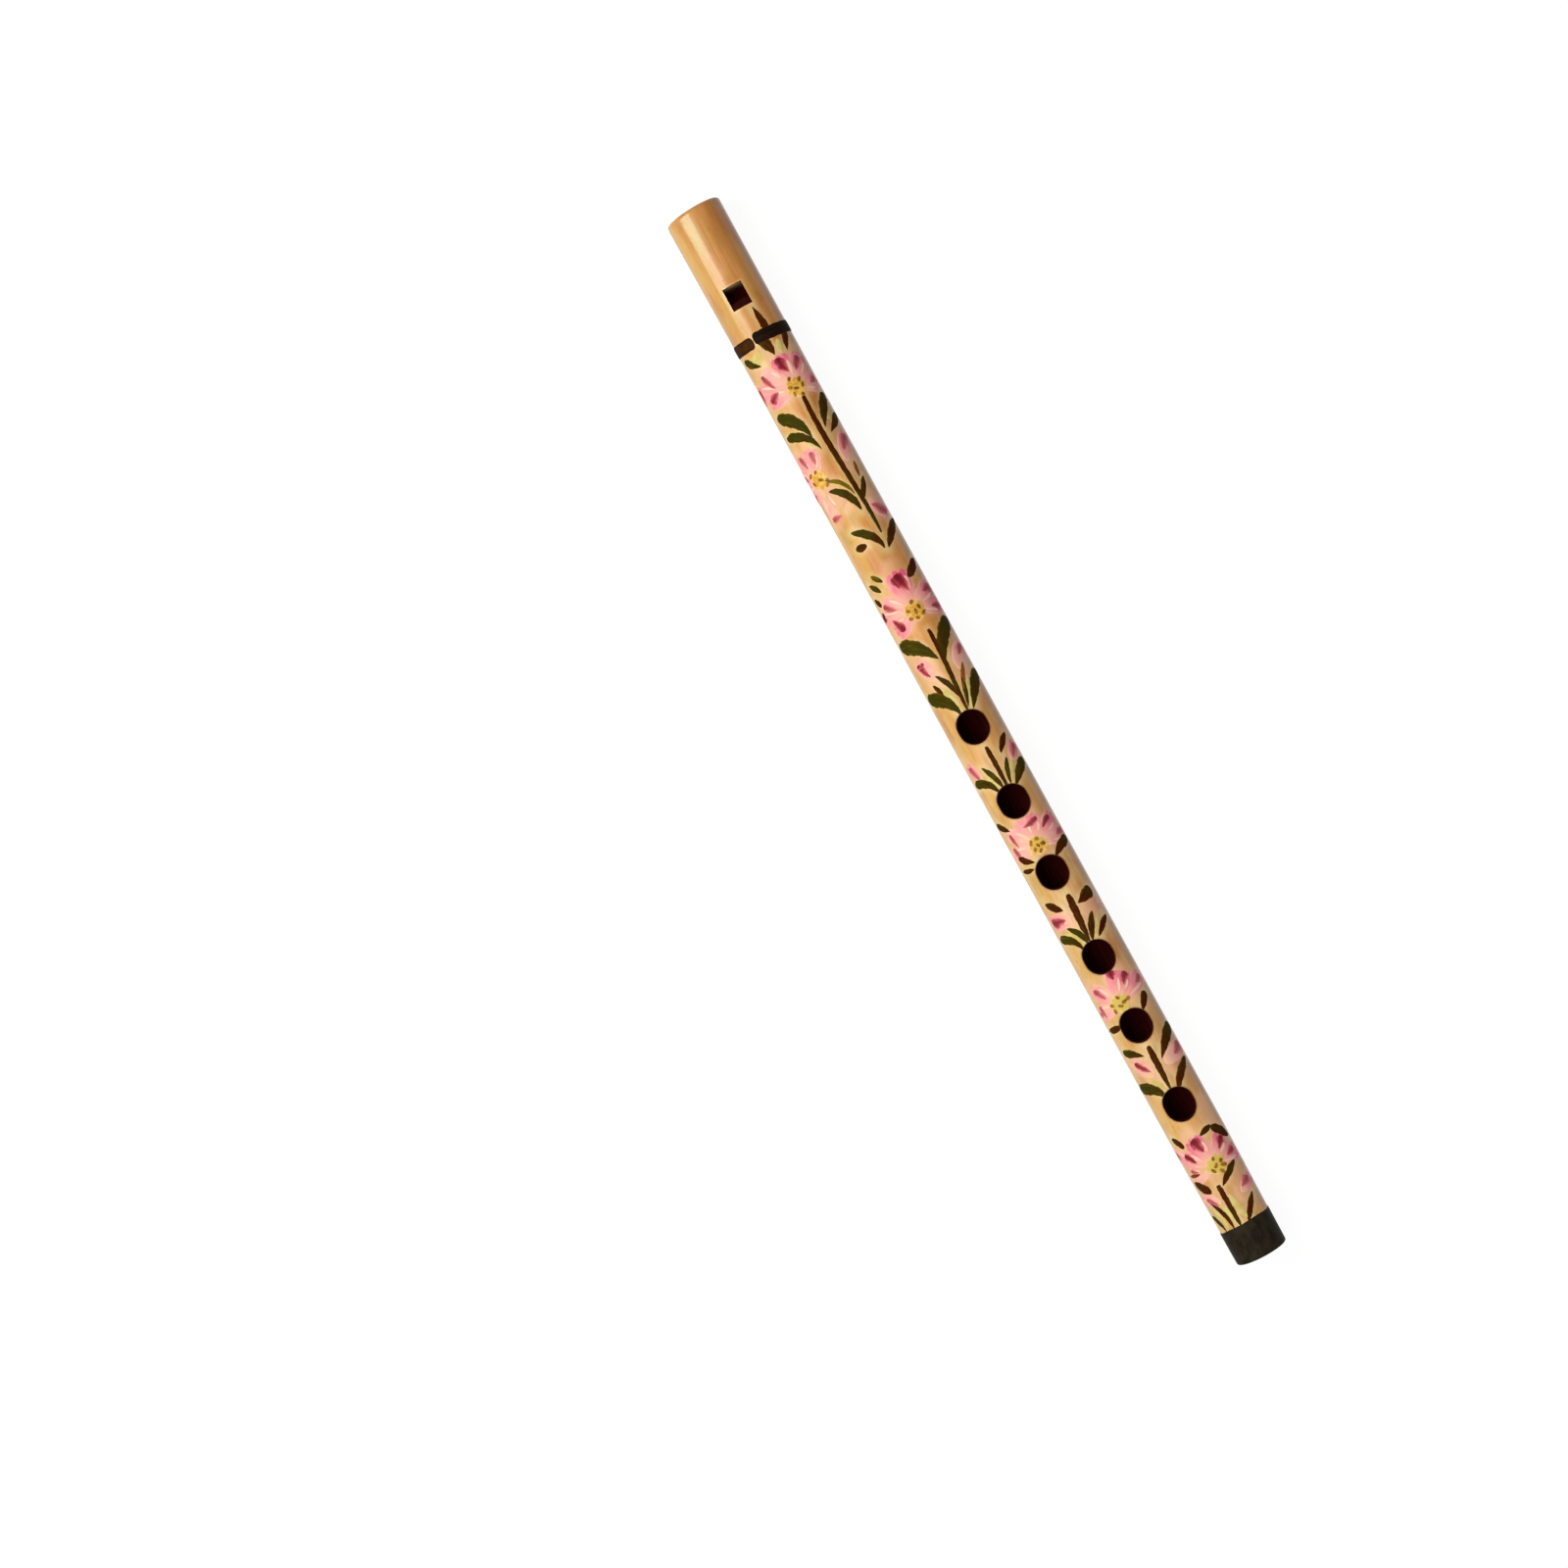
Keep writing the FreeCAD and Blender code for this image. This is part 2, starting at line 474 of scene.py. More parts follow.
def hue(red, green, blue):
    """A colour from its 0 to 255 values, as the shaders want it."""
    linear = [((part / 255 + 0.055) / 1.055) ** 2.4 for part in (red, green, blue)]
    return (*linear, 1)


def hold(piece, name, values):
    """Holds a value, or a vector of three, at each point of a piece for its material to read."""
    kind, key = ("FLOAT", "value") if values.ndim == 1 else ("FLOAT_VECTOR", "vector")
    measure = piece.data.attributes.new(name, kind, "POINT")
    measure.data.foreach_set(key, values.astype(np.float32).ravel())


tube_finishes = ("varnished_cane", "sawn_cane", "burnt_cane", "bore")
tube_materials = [bpy.data.materials.new(name) for name in tube_finishes]

skin = Finish(tube_materials[SKIN])
at = skin.millimetres()
clouds = skin.grain(at, (0.05, 0.17, 0.17), 3)
patches = skin.grain(at, (0.06, 0.16, 0.16), 3)
rosy = skin.grain(at, (0.12, 0.26, 0.26), 3)
olive = skin.grain(at, (0.11, 0.24, 0.24), 3)
fibres = skin.grain(at, (0.03, 2.2, 2.2), 5, 0.62)
hairs = skin.grain(at, (0.11, 6.5, 6.5), 2)
flecks = skin.grain(at, (0.42, 3.4, 3.4), 1)
# side is 1 on the lit front side and -1 on the far side; the cane's colour uses it to paint in light and shade
side = skin.measure("side")
pale = skin.measure("pale")
wash = clouds.rise(0.3, 0.6) * 0.6 + fibres * 0.5 + 0.2
scorch = (skin.measure("scorch") * (0.75 + fibres * 0.6)).rise(0.12, 0.85)
color = skin.coats(
    skin.blend(clouds.rise(0.36, 0.64), hue(214, 138, 66), hue(234, 162, 84)),
    (pale * (0.5 + clouds), hue(228, 188, 132)),
    (pale * -1, hue(176, 112, 58)),
    # Painted light: the lit front side is paler and yellower, standing in for the broad lamp's sheen
    (side.rise(0.05, 0.8) * 0.5, hue(230, 184, 116)),
    (patches.rise(0.5, 0.66) * 0.6, hue(196, 112, 50)),
    (rosy.rise(0.5, 0.66) * 0.45, hue(220, 146, 92)),
    (olive.rise(0.52, 0.68) * 0.5, hue(192, 152, 78)),
    (fibres.rise(0.48, 0.74) * 0.34, hue(166, 94, 42)),
    (fibres.rise(0.42, 0.26) * 0.4, hue(244, 188, 116)),
    (hairs.rise(0.6, 0.72) * 0.32, hue(130, 74, 34)),
    (flecks.rise(0.7, 0.78) * 0.55, hue(100, 52, 24)),
    # Painted shade: the far side, away from the lamps, is darker brown
    (side.rise(-0.78, -1.0) * 0.45, hue(120, 70, 34)),
    (skin.measure("sage") * wash * 0.6, hue(232, 204, 150)),
    (skin.measure("blush") * wash * 0.6, hue(244, 184, 150)),
    # Pale rim round the window: paler pared cane, and a painted highlight of the light its edges catch
    (skin.measure("pared") * (0.3 + fibres), hue(236, 190, 124)),
    (scorch, hue(40, 14, 12)),
)
varnish = {"IOR": 1.45, "Specular IOR Level": 0.3, "Coat Roughness": 0.17, "Coat IOR": 1.5}
varnish["Coat Weight"] = 0.6 - scorch * 0.5
roughness = 0.42 + fibres * 0.12 + scorch * 0.25
skin.surface(varnish, color, roughness, fibres * 0.7 + hairs * 0.3 + clouds * 1.5, 0.02)

sawn = Finish(tube_materials[SAWN])
at = sawn.millimetres()
bundles = sawn.node(
    "ShaderNodeTexVoronoi", {}, {"Vector": sawn.stretched(at, (0.3, 2.1, 2.1)), "Randomness": 0.9})
wood = sawn.grain(at, (0.5, 1.5, 1.5), 4)
saw_marks = sawn.grain(at, (0.5, 0.25, 9), 2)
color = sawn.coats(
    sawn.blend(wood.rise(0.3, 0.7), hue(196, 142, 86), hue(224, 178, 120)),
    (bundles.rise(0.34, 0.16) * 0.8, hue(112, 68, 38)),
    (saw_marks.rise(0.6, 0.75) * 0.3, hue(150, 100, 60)),
)
sawn.surface({"IOR": 1.45}, color, 0.62 + wood * 0.15, bundles * 0.6 + saw_marks, 0.05)

# Walls of the openings: char on the burnt finger holes, and painted shade on the knife-cut window walls
walls_char_and_shade = Finish(tube_materials[WALLS_CHAR_AND_SHADE])
at = walls_char_and_shade.millimetres()
soot = walls_char_and_shade.grain(at, (1.1, 1.1, 1.1), 4)
color = walls_char_and_shade.blend(soot.rise(0.35, 0.7), hue(46, 8, 8), hue(66, 18, 12))
walls_char_and_shade.surface({"IOR": 1.4, "Specular IOR Level": 0.06}, color, 0.68 + soot * 0.2, soot, 0.06)

# The bore is near-black maroon: partly char inside the cane, and partly painted shade for the dark inside seen
# through the holes and window
bore = Finish(tube_materials[BORE])
at = bore.millimetres()
streaks = bore.grain(at, (0.05, 1.6, 1.6), 4)
color = bore.coats(
    bore.blend(streaks.rise(0.3, 0.7), hue(62, 10, 12), hue(92, 24, 18)),
    (bore.measure("open_end") * (0.5 + streaks), hue(150, 104, 62)),
    (bore.measure("varnish_run") * (0.5 + streaks), hue(128, 34, 26)),
)
bore.surface({"IOR": 1.4, "Specular IOR Level": 0.06}, color, 0.75 + streaks * 0.1, streaks, 0.05)

cane, used = build_piece(
    "cane", np.concatenate(tube_points), np.concatenate(tube_faces).reshape(-1, 4),
    face_materials=np.concatenate(tube_face_materials))
for material in tube_materials:
    cane.data.materials.append(material)
cane_points = np.concatenate(tube_points)[used]
cane_x = (cane_points[:, 0] - tube_low.x) / MM
cane_y = cane_points[:, 1] / MM
cane_z = (cane_points[:, 2] - flute_middle.z) / MM
cane_turn = np.arctan2(-cane_y, cane_z)
# How far each point faces round to the lamps' front side, for the painted light and shade of the cane
hold(cane, "side", np.sin(cane_turn))

# Scorch round each hole from the iron, and the pale rim round the window: pared cane and a painted highlight
scorch_fade = 0.4
rim_and_highlight_fade = 0.3
scorch = np.zeros(len(cane_x))
for hole_x in hole_places:
    from_edge = np.hypot(np.maximum(abs(cane_x - hole_x) - hole_reach, 0), cane_y) - hole_radius
    scorch = np.maximum(scorch, np.exp(-np.maximum(from_edge, 0) / scorch_fade) * (cane_z > 0))
hold(cane, "scorch", scorch)
window_middle = plug_length + window_length / 2
window_gap = np.hypot(
    np.maximum(abs(cane_x - window_middle) - window_length / 2, 0),
    np.maximum(abs(cane_y) - window_half_width, 0))
hold(cane, "pared", np.exp(-window_gap / rim_and_highlight_fade) * (cane_z > 0))

# The cane is smoked a little darker at the mouth and stayed pale towards the foot
pale_places = (0, 45, 75, 105, 150, 180, 220, 270, 300, tube_length)
pale_shares = (-0.5, -0.4, 0, 0, 0, 0.35, 0.55, 0.5, 0.25, 0.4)
hold(cane, "pale", np.interp(cane_x, pale_places, pale_shares))

# The bore is bare near the open foot, and varnish has run into it through the window
bare_reach = 14
run_middle = plug_length + 3
run_reach = 6
hold(cane, "open_end", np.clip((cane_x - tube_length + bare_reach) / bare_reach, 0, 1) ** 2)
hold(cane, "varnish_run", np.exp(-((cane_x - run_middle) / run_reach) ** 2))
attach(cane, "root")
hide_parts("bamboo_tube")

# Plug
# A peg of pale close-grained wood, glued into the seat at the mouth. Its top is pared flat with a knife to
# leave the windway, and its far end is bevelled at the window.
plug_radius = 6.47
windway_floor_mouth = 4.8
windway_floor_exit = 5.4
plug_bevel = 0.3
plug_edge = 0.35
edge_narrowing = 0.035
face_dish = 0.02
knife_ridge = 0.02
shank_start = 0.8
shank_rings = 40
flat_points = 20
round_points_below = 56


def plug_ring(x, floor, scale=1.0):
    """Points round the plug at x: across its flat top, then round below."""
    corner = np.arccos(floor / plug_radius)
    half_flat = plug_radius * np.sin(corner)
    flat_y = np.linspace(half_flat, -half_flat, flat_points, endpoint=False)
    turn = np.linspace(corner, 2 * np.pi - corner, round_points_below, endpoint=False)
    ridges = knife_ridge * np.sin(flat_y * 2.6 + 0.6 * np.sin(x / 5))
    y = np.concatenate([flat_y, -plug_radius * np.sin(turn)])
    z = np.concatenate([np.full(flat_points, floor) - abs(ridges), plug_radius * np.cos(turn)])
    return to_world(np.full(len(y), x), y * scale, z * scale)


def windway_floor(x):
    """Height of the pared flat over the axis at x."""
    return windway_floor_mouth + (windway_floor_exit - windway_floor_mouth) * x / plug_length


rings = []
for scale in (0.05, 0.35, 0.6, 0.8, 0.93):
    rings.append(plug_ring(face_dish * (1 - scale), windway_floor_mouth, scale))
for ease in (0, 0.3, 0.65, 1):
    scale = 1 - edge_narrowing * (1 - math.sqrt(ease))
    rings.append(plug_ring(plug_edge * ease ** 2, windway_floor_mouth, scale))
for x in np.linspace(shank_start, plug_length - plug_bevel, shank_rings):
    rings.append(plug_ring(x, windway_floor(x)))
for scale in (1, 0.8, 0.5, 0.2, 0.05):
    rings.append(plug_ring(plug_length, windway_floor_exit - plug_bevel, scale))
ring_numbers = np.arange(len(rings) * (flat_points + round_points_below)).reshape(len(rings), -1)
plug_faces = grid_quads(ring_numbers, closed=True).reshape(-1, 4)
plug = build_piece("plug", np.concatenate(rings), plug_faces, caps=[ring_numbers[0], ring_numbers[-1]])[0]

# Its growth rings lie round a pith off the plug's middle
pith_shift = (0, 3.5, -4.5)
plug_wood = Finish(bpy.data.materials.new("plug_wood"))
at = plug_wood.millimetres()
off_centre = plug_wood.node("ShaderNodeVectorMath", {"operation": "ADD"}, {0: at, 1: pith_shift})
parts = [plug_wood.node("ShaderNodeSeparateXYZ", {}, {0: off_centre}, part) for part in ("Y", "Z")]
wander = plug_wood.grain(at, (0.06, 0.5, 0.5), 3)
from_pith = (parts[0] * parts[0] + parts[1] * parts[1]) ** 0.5
rings_of_growth = ((from_pith + wander * 0.9) * 8.5).sine()
pores = plug_wood.grain(at, (0.12, 6, 6), 3)
color = plug_wood.blend(rings_of_growth.rise(-0.9, 1.0), hue(216, 176, 124), hue(198, 152, 100))
color = plug_wood.blend(pores.rise(0.56, 0.7) * 0.45, color, hue(140, 94, 54))
plug_wood.surface({"IOR": 1.45}, color, 0.6 + pores * 0.15, rings_of_growth * 0.2 + pores, 0.04)
plug.data.materials.append(plug_wood.owner)
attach(plug, "root")
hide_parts("fipple_plug")


# Neck band
# A narrow ring of black lacquer, brushed once round behind the window. The two ends of the stroke are
# round, don't quite meet in front and don't quite line up, and its start is thin and brown.
band_middle = 41.85
band_half_width = 1.84
band_lift = 0.19
band_ends = (2.15, 54.95)
band_end_rounding = 1.1
band_slip = 0.14
band_sway = 0.1
band_samples = 240

# Every stroke on the flute: how near to a hole's middle paint comes, how far round from the crest a stroke
# may reach to be cut by the holes, and how far its spine may run on inside one
paint_free_radius = hole_radius + hole_softening + 0.05
front_reach = 13
deepest_kept = 0.3
# How deep a stroke's edge and its underside lie in the cane, and how flat its back is across and lengthways
paint_sink = 0.02
paint_root = 0.05
crown_squareness = 5
end_squareness = 14
fewest_rows = 16
most_rows = 80
tip_half_width = 0.012


def smooth_line(points, shares):
    """A smooth line through 2 to 4 given points, at shares of its length."""
    points = np.array(points, float)
    steps = np.concatenate([[0], np.cumsum(np.hypot(*np.diff(points, axis=0).T))])
    return [np.polyval(np.polyfit(steps / steps[-1], part, len(points) - 1), shares) for part in points.T]


def inside_hole(x, arc):
    """How far places on the skin lie inside the rim of a finger hole, and those places moved to the rim."""
    radius = plain_radius(x)
    y = radius * np.sin(arc / radius)
    deepest = np.full(np.shape(x), -99.0)
    for hole_x in hole_places:
        nearest = hole_x + np.clip(x - hole_x, -hole_reach, hole_reach)
        away = np.hypot(x - nearest, y)
        deepest = np.maximum(deepest, paint_free_radius - away)
        pushed = np.maximum(paint_free_radius / np.maximum(away, 0.01), 1)
        x = nearest + (x - nearest) * pushed
        y = y * pushed
    return deepest, x, radius * np.arcsin(np.clip(y / radius, -1, 1))


def columns_of(like, *parts):
    """Sets numbers and arrays side by side, each spread out to the shape of like."""
    return np.stack([np.broadcast_to(part, like.shape) for part in parts], axis=-1).reshape(-1, 3)


class Strokes:
    """Brush strokes on the cane: thin closed shells of paint that follow its skin and stop at its holes.

    Each point holds its place in the brush in millimetres, and its share along the stroke, its share
    across it and the stroke's tone.
    """

    def __init__(self, seed, row_gap=0.35):
        self.chance = np.random.default_rng(seed)
        self.row_gap = row_gap
        self.points, self.faces, self.caps, self.brush, self.share = [], [], [], [], []

    def add(self, x, arc, half_width, lift, tone=0.5, wobble=0.05, columns=9):
        """Adds one stroke along a line of places, x from the mouth and arc round from the crest, in mm."""
        share = np.linspace(0, 1, len(x))
        in_front = abs(arc).max() < front_reach
        if in_front:
            kept_rows = inside_hole(x, arc)[0] < deepest_kept
            x, arc, half_width, share = (part[kept_rows] for part in (x, arc, half_width, share))
        rows = len(x)
        step_x, step_arc = np.gradient(x), np.gradient(arc)
        step = np.hypot(step_x, step_arc)
        length = np.cumsum(step)
        side_x, side_arc = -step_arc / step, step_x / step
        phase = self.chance.uniform(0, 2 * np.pi, 4)[:, None]
        edges = 1 + wobble * (np.sin(length * 1.9 + phase[:2]) + 0.6 * np.sin(length * 4.3 + phase[2:]))
        top = np.sin(np.linspace(-np.pi / 2, np.pi / 2, columns))
        under = np.linspace(1, -1, columns - 4)[1:-1]
        v = np.concatenate([top, under])
        crown = np.sqrt(1 - np.abs(top) ** crown_squareness)
        v_width = half_width[:, None] * np.where(v < 0, edges[0][:, None], edges[1][:, None]) * v
        px = x[:, None] + side_x[:, None] * v_width
        pa = arc[:, None] + side_arc[:, None] * v_width
        if in_front:
            px, pa = inside_hole(px, pa)[1:]
        turn = pa / plain_radius(px)
        from_middle = np.abs(np.linspace(-1, 1, rows))[:, None]
        end_fade = np.sqrt(np.clip(1 - from_middle ** end_squareness, 0, 1))
        lifts = np.concatenate([
            -paint_sink + (lift + paint_sink) * crown * end_fade,
            np.full((rows, len(under)), -paint_root),
        ], axis=1)
        count = sum(len(block) for block in self.points)
        numbers = count + np.arange(rows * len(v)).reshape(rows, -1)
        self.points.append(round_points(px, turn, skin_radius(px, turn) + lifts).reshape(-1, 3))
        self.faces.append(grid_quads(numbers, closed=True).reshape(-1, 4))
        self.caps += [numbers[0], numbers[-1]]
        seed = self.chance.uniform(0, 60)
        self.brush.append(columns_of(v_width, length[:, None] + seed * 3, v_width, seed))
        self.share.append(columns_of(v_width, share[:, None], v, tone))

    def dab(self, points, width, shape, lift, tone=0.5, wobble=0.05):
        """Adds a stroke through a few points. Its shape is how slowly it fills out from either end."""
        rough_length = np.hypot(*(np.array(points[-1], float) - np.array(points[0], float)))
        rows = int(np.clip(rough_length / self.row_gap, fewest_rows, most_rows))
        shares = (1 - np.cos(np.linspace(0, np.pi, rows))) / 2
        x, arc = smooth_line(points, shares)
        start, end = shape
        peak = start / (start + end)
        full = (shares ** start * (1 - shares) ** end) / (peak ** start * (1 - peak) ** end)
        self.add(x, arc, np.maximum(width / 2 * full, tip_half_width), lift, tone, wobble)

    def piece(self, name, material, slot):
        """Makes the strokes one piece of the flute."""
        points, faces = np.concatenate(self.points), np.concatenate(self.faces)
        piece = build_piece(name, points, faces, self.caps, sharp=60)[0]
        hold(piece, "brush_mm", np.concatenate(self.brush))
        hold(piece, "stroke_share", np.concatenate(self.share))
        piece.data.materials.append(material)
        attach(piece, "root")
        return piece


band_arc = np.linspace(*band_ends, band_samples)
band_share = np.linspace(0, 1, band_samples)
from_end = np.minimum(band_arc - band_ends[0], band_ends[1] - band_arc) / band_end_rounding
band_round = np.sqrt(np.clip(1 - (1 - np.clip(from_end, 0, 1)) ** 2, 0.0004, 1))
band_x = band_middle + band_slip * (1 - 2 * band_share) + band_sway * np.sin(band_arc / 3.1)
band_strokes = Strokes(seed=4)
band_strokes.add(band_x, band_arc, band_half_width * band_round, band_lift, wobble=0.02, columns=13)

lacquer = Finish(bpy.data.materials.new("black_lacquer"))
at = lacquer.millimetres()
brushed = lacquer.grain(lacquer.measure("brush_mm", "all"), (0.12, 3.2, 1), 3)
worn = lacquer.grain(at, (0.5, 0.5, 0.5), 4)
at_start = lacquer.measure("stroke_share", "X").rise(0.3, 0.02)
thin = at_start * (1 - abs(lacquer.measure("stroke_share", "Y")) ** 3)
color = lacquer.coats(
    lacquer.blend(brushed.rise(0.35, 0.7), hue(20, 8, 4), hue(40, 20, 10)),
    (worn.rise(0.62, 0.76) * 0.5, hue(80, 42, 18)),
    (thin * (worn * 1.6 - 0.1), hue(76, 38, 2)),
)
lacquer.surface({"IOR": 1.4, "Specular IOR Level": 0.08}, color, 0.55 + worn * 0.2, brushed, 0.03)
neck_band = band_strokes.piece("neck_ring", lacquer.owner, "black_band")
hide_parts("neck_band")

# Foot band
# A wide ring of thick black lacquer that guards the sawn foot against splitting. The foot was dipped in
# it, so the upper edge is a little slanted, and the lower edge is rounded over the bevelled cane.
foot_band_start = tube_length - 11.6
foot_band_lift = 0.15
foot_band_rounding = 0.65
foot_setback = 0.4
foot_slant = 0.28
foot_sag = 0.45
foot_ripple = 0.08
foot_run = 0.04
foot_root = 0.15
foot_lines = 144
foot_rows = 22
# The rounded upper edge: how far each ring lies behind it, and its share of the lacquer's thickness
foot_edge_shares = ((0, -0.12), (0.03, 0.3), (0.12, 0.62), (0.3, 0.88), (0.6, 1))

foot_turns = np.arange(foot_lines) * 2 * np.pi / foot_lines
foot_edge = foot_band_start + foot_setback + foot_slant * np.sin(foot_turns)
foot_edge += foot_sag * np.sin(foot_turns) ** 2 + foot_ripple * np.sin(5 * foot_turns + 1)
foot_rings = []


def foot_skin(x, turn):
    """Radius of the lacquer's surface, which shows the runs and dimples of a thick coat."""
    dimples = np.sin(9 * turn + x / 2.1) * np.sin(x / 3.3 + 2 * turn)
    runs = np.sin(4 * turn + x / 5)
    return plain_radius(x) + foot_band_lift - foot_run * (0.5 + 0.25 * dimples + 0.25 * runs)


for inset, lift_share in foot_edge_shares:
    x = foot_edge + inset
    lift = (foot_skin(x, foot_turns) - plain_radius(x)) * lift_share
    foot_rings.append((x, plain_radius(x) + lift))
full_coat_start = foot_edge + foot_edge_shares[-1][0]
rounding_start = tube_length - foot_band_rounding
for share in np.linspace(0.08, 1, foot_rows):
    x = full_coat_start + (rounding_start - full_coat_start) * share
    foot_rings.append((x, foot_skin(x, foot_turns)))
for angle in np.radians((15, 30, 45, 60, 75, 90)):
    x = rounding_start + foot_band_rounding * math.sin(angle)
    foot_rings.append((x, foot_skin(x, foot_turns) - foot_band_rounding * (1 - math.cos(angle))))
foot_rings.append((tube_length, plain_radius(tube_length) - foot_bevel - paint_sink))
foot_rings.append((tube_length - foot_bevel, plain_radius(tube_length) - foot_root))
foot_points = [round_points(x, foot_turns, radius) for x, radius in foot_rings]
foot_numbers = np.arange(len(foot_points) * foot_lines).reshape(-1, foot_lines)
foot_faces = grid_quads(np.concatenate([foot_numbers, foot_numbers[:1]]), closed=True).reshape(-1, 4)
foot_band = build_piece("foot_ring", np.concatenate(foot_points), foot_faces)[0]

dip = Finish(bpy.data.materials.new("dipped_lacquer"))
at = dip.millimetres()
mottle = dip.grain(at, (0.35, 0.5, 0.5), 4)
scuffs = dip.grain(at, (0.9, 2.4, 2.4), 3)
color = dip.coats(
    dip.blend(mottle.rise(0.35, 0.68), hue(28, 20, 12), hue(46, 37, 26)),
    (scuffs.rise(0.62, 0.75) * 0.5, hue(70, 58, 44)),
)
relief = mottle + scuffs * 0.5
dip.surface({"IOR": 1.4, "Specular IOR Level": 0.12}, color, 0.5 + mottle * 0.2, relief, 0.06)
foot_band.data.materials.append(dip.owner)
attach(foot_band, "root")
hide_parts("foot_band")

# Flowers
# Wet pale strokes laid from the outer end inwards make the petals and buds, over a thin pink stain, with
# one stroke of near white on each petal. Then a brush full of crimson is pressed once into the outer end
# of most petals, inside a rim that stays pale.
# How slowly each kind of stroke fills out from its start and from its end
PETAL = (0.42, 0.62)
BUD = (0.5, 0.6)
DAB = (0.38, 0.72)
petal_lift = 0.05
petal_share = 0.64
petal_wobble = 0.08
light_lift = 0.068
light_share = 0.26
light_tone = -0.6
bud_share = 0.62
crimson_lift = 0.075
crimson_spread = 1.25
crimson_overrun = 0.1
crimson_swerve = 0.08
# A petal is three strokes and a bud two: how far each fans out, and for a petal how far in it starts
petal_fans = ((-0.3, 0.5), (0.32, 0.35), (0.02, 0))
light_fan = -0.32
bud_fans = (-0.24, 0.24)
# Each flower: its middle, then the outer end of each petal, the petal's width and how rosy it is
flowers = [
    ((59.2, -2.6), [
        ((48.5, -1.8), 5.8, 0.75), ((50.2, -8.8), 5.4, 0.8), ((50.9, 5.2), 4.8, 0.4),
        ((59.3, 8.0), 4.8, 0.6), ((55.0, 11.0), 4.4, 0.5), ((59.8, -11.2), 5.4, 0.45)]),
    ((85.4, 5.6), [
        ((75.8, 3.2), 4.8, 0.45), ((76.2, 8.8), 4.0, 0.4), ((97.8, 7.2), 4.6, 0.2),
        ((81.8, 13.6), 5.0, 0.5), ((89.6, 13.8), 5.0, 0.5), ((95.2, 2.2), 4.0, 0.1)]),
    ((130.0, -1.5), [
        ((117.7, -1.6), 6.8, 0.85), ((125.4, -11.2), 5.2, 0.7), ((132.2, -11.6), 4.8, 0.6),
        ((124.4, 6.6), 4.6, 0.5), ((128.4, 11.2), 4.4, 0.4), ((134.2, 7.2), 5.0, 0.6)]),
    ((205.0, -0.3), [
        ((196.4, -2.8), 4.2, 0.6), ((196.6, 1.8), 4.0, 0.4), ((199.2, -9.4), 4.6, 0.7),
        ((205.4, -11.4), 4.6, 0.4), ((198.4, 7.2), 4.2, 0.3), ((205.6, 9.6), 4.6, 0.3)]),
    ((255.5, 0.9), [
        ((246.0, -1.2), 4.0, 0.7), ((247.8, -4.8), 4.0, 0.8), ((251.0, -10.0), 4.4, 0.6),
        ((248.6, 7.6), 4.8, 0.4), ((256.6, 10.2), 4.4, 0.3)]),
    ((308.6, -0.7), [
        ((298.6, 2.2), 5.6, 0.7), ((301.0, -7.4), 4.6, 0.6), ((307.6, -11.0), 4.8, 0.5),
        ((303.0, 8.0), 4.8, 0.55), ((301.0, 11.8), 4.2, 0.4), ((309.8, 10.0), 4.6, 0.2)]),
]
# Each bud: the line of its stroke from its outer end, its width and how rosy it is
buds = [
    (((76.0, -10.4), (79.6, -7.4), (84.4, -5.6)), 4.8, 0.5),
    (((102.4, -10.4), (99.4, -7.2), (96.2, -5.6)), 4.6, 0.45),
    (((144.2, -10.8), (147.1, -7.5), (151.4, -5.1)), 5.2, 0.25),
    (((143.6, 5.8), (146.8, 4.2), (150.8, 3.0)), 5.0, 0.35),
    (((176.2, 8.2), (179.2, 6.9), (182.2, 5.4)), 3.6, 0.6),
    (((176.0, -10.4), (178.4, -7.9), (180.8, -5.6)), 4.0, 0.6),
    (((227.2, 9.4), (227.5, 5.9), (228.4, 1.6)), 5.0, 0.45),
    (((227.6, -8.6), (227.7, -5.3), (228.4, -2.2)), 4.4, 0.1),
    (((274.2, -11.2), (275.2, -6.9), (276.6, -2.2)), 5.0, 0.3),
    (((272.2, 7.8), (274.8, 4.8), (278.6, 2.6)), 5.2, 0.2),
    (((316.4, -10.8), (317.4, -6.9), (319.0, -3.8)), 4.0, 0.5),
    (((316.0, 9.2), (317.4, 6.1), (319.0, 3.0)), 4.0, 0.35),
]
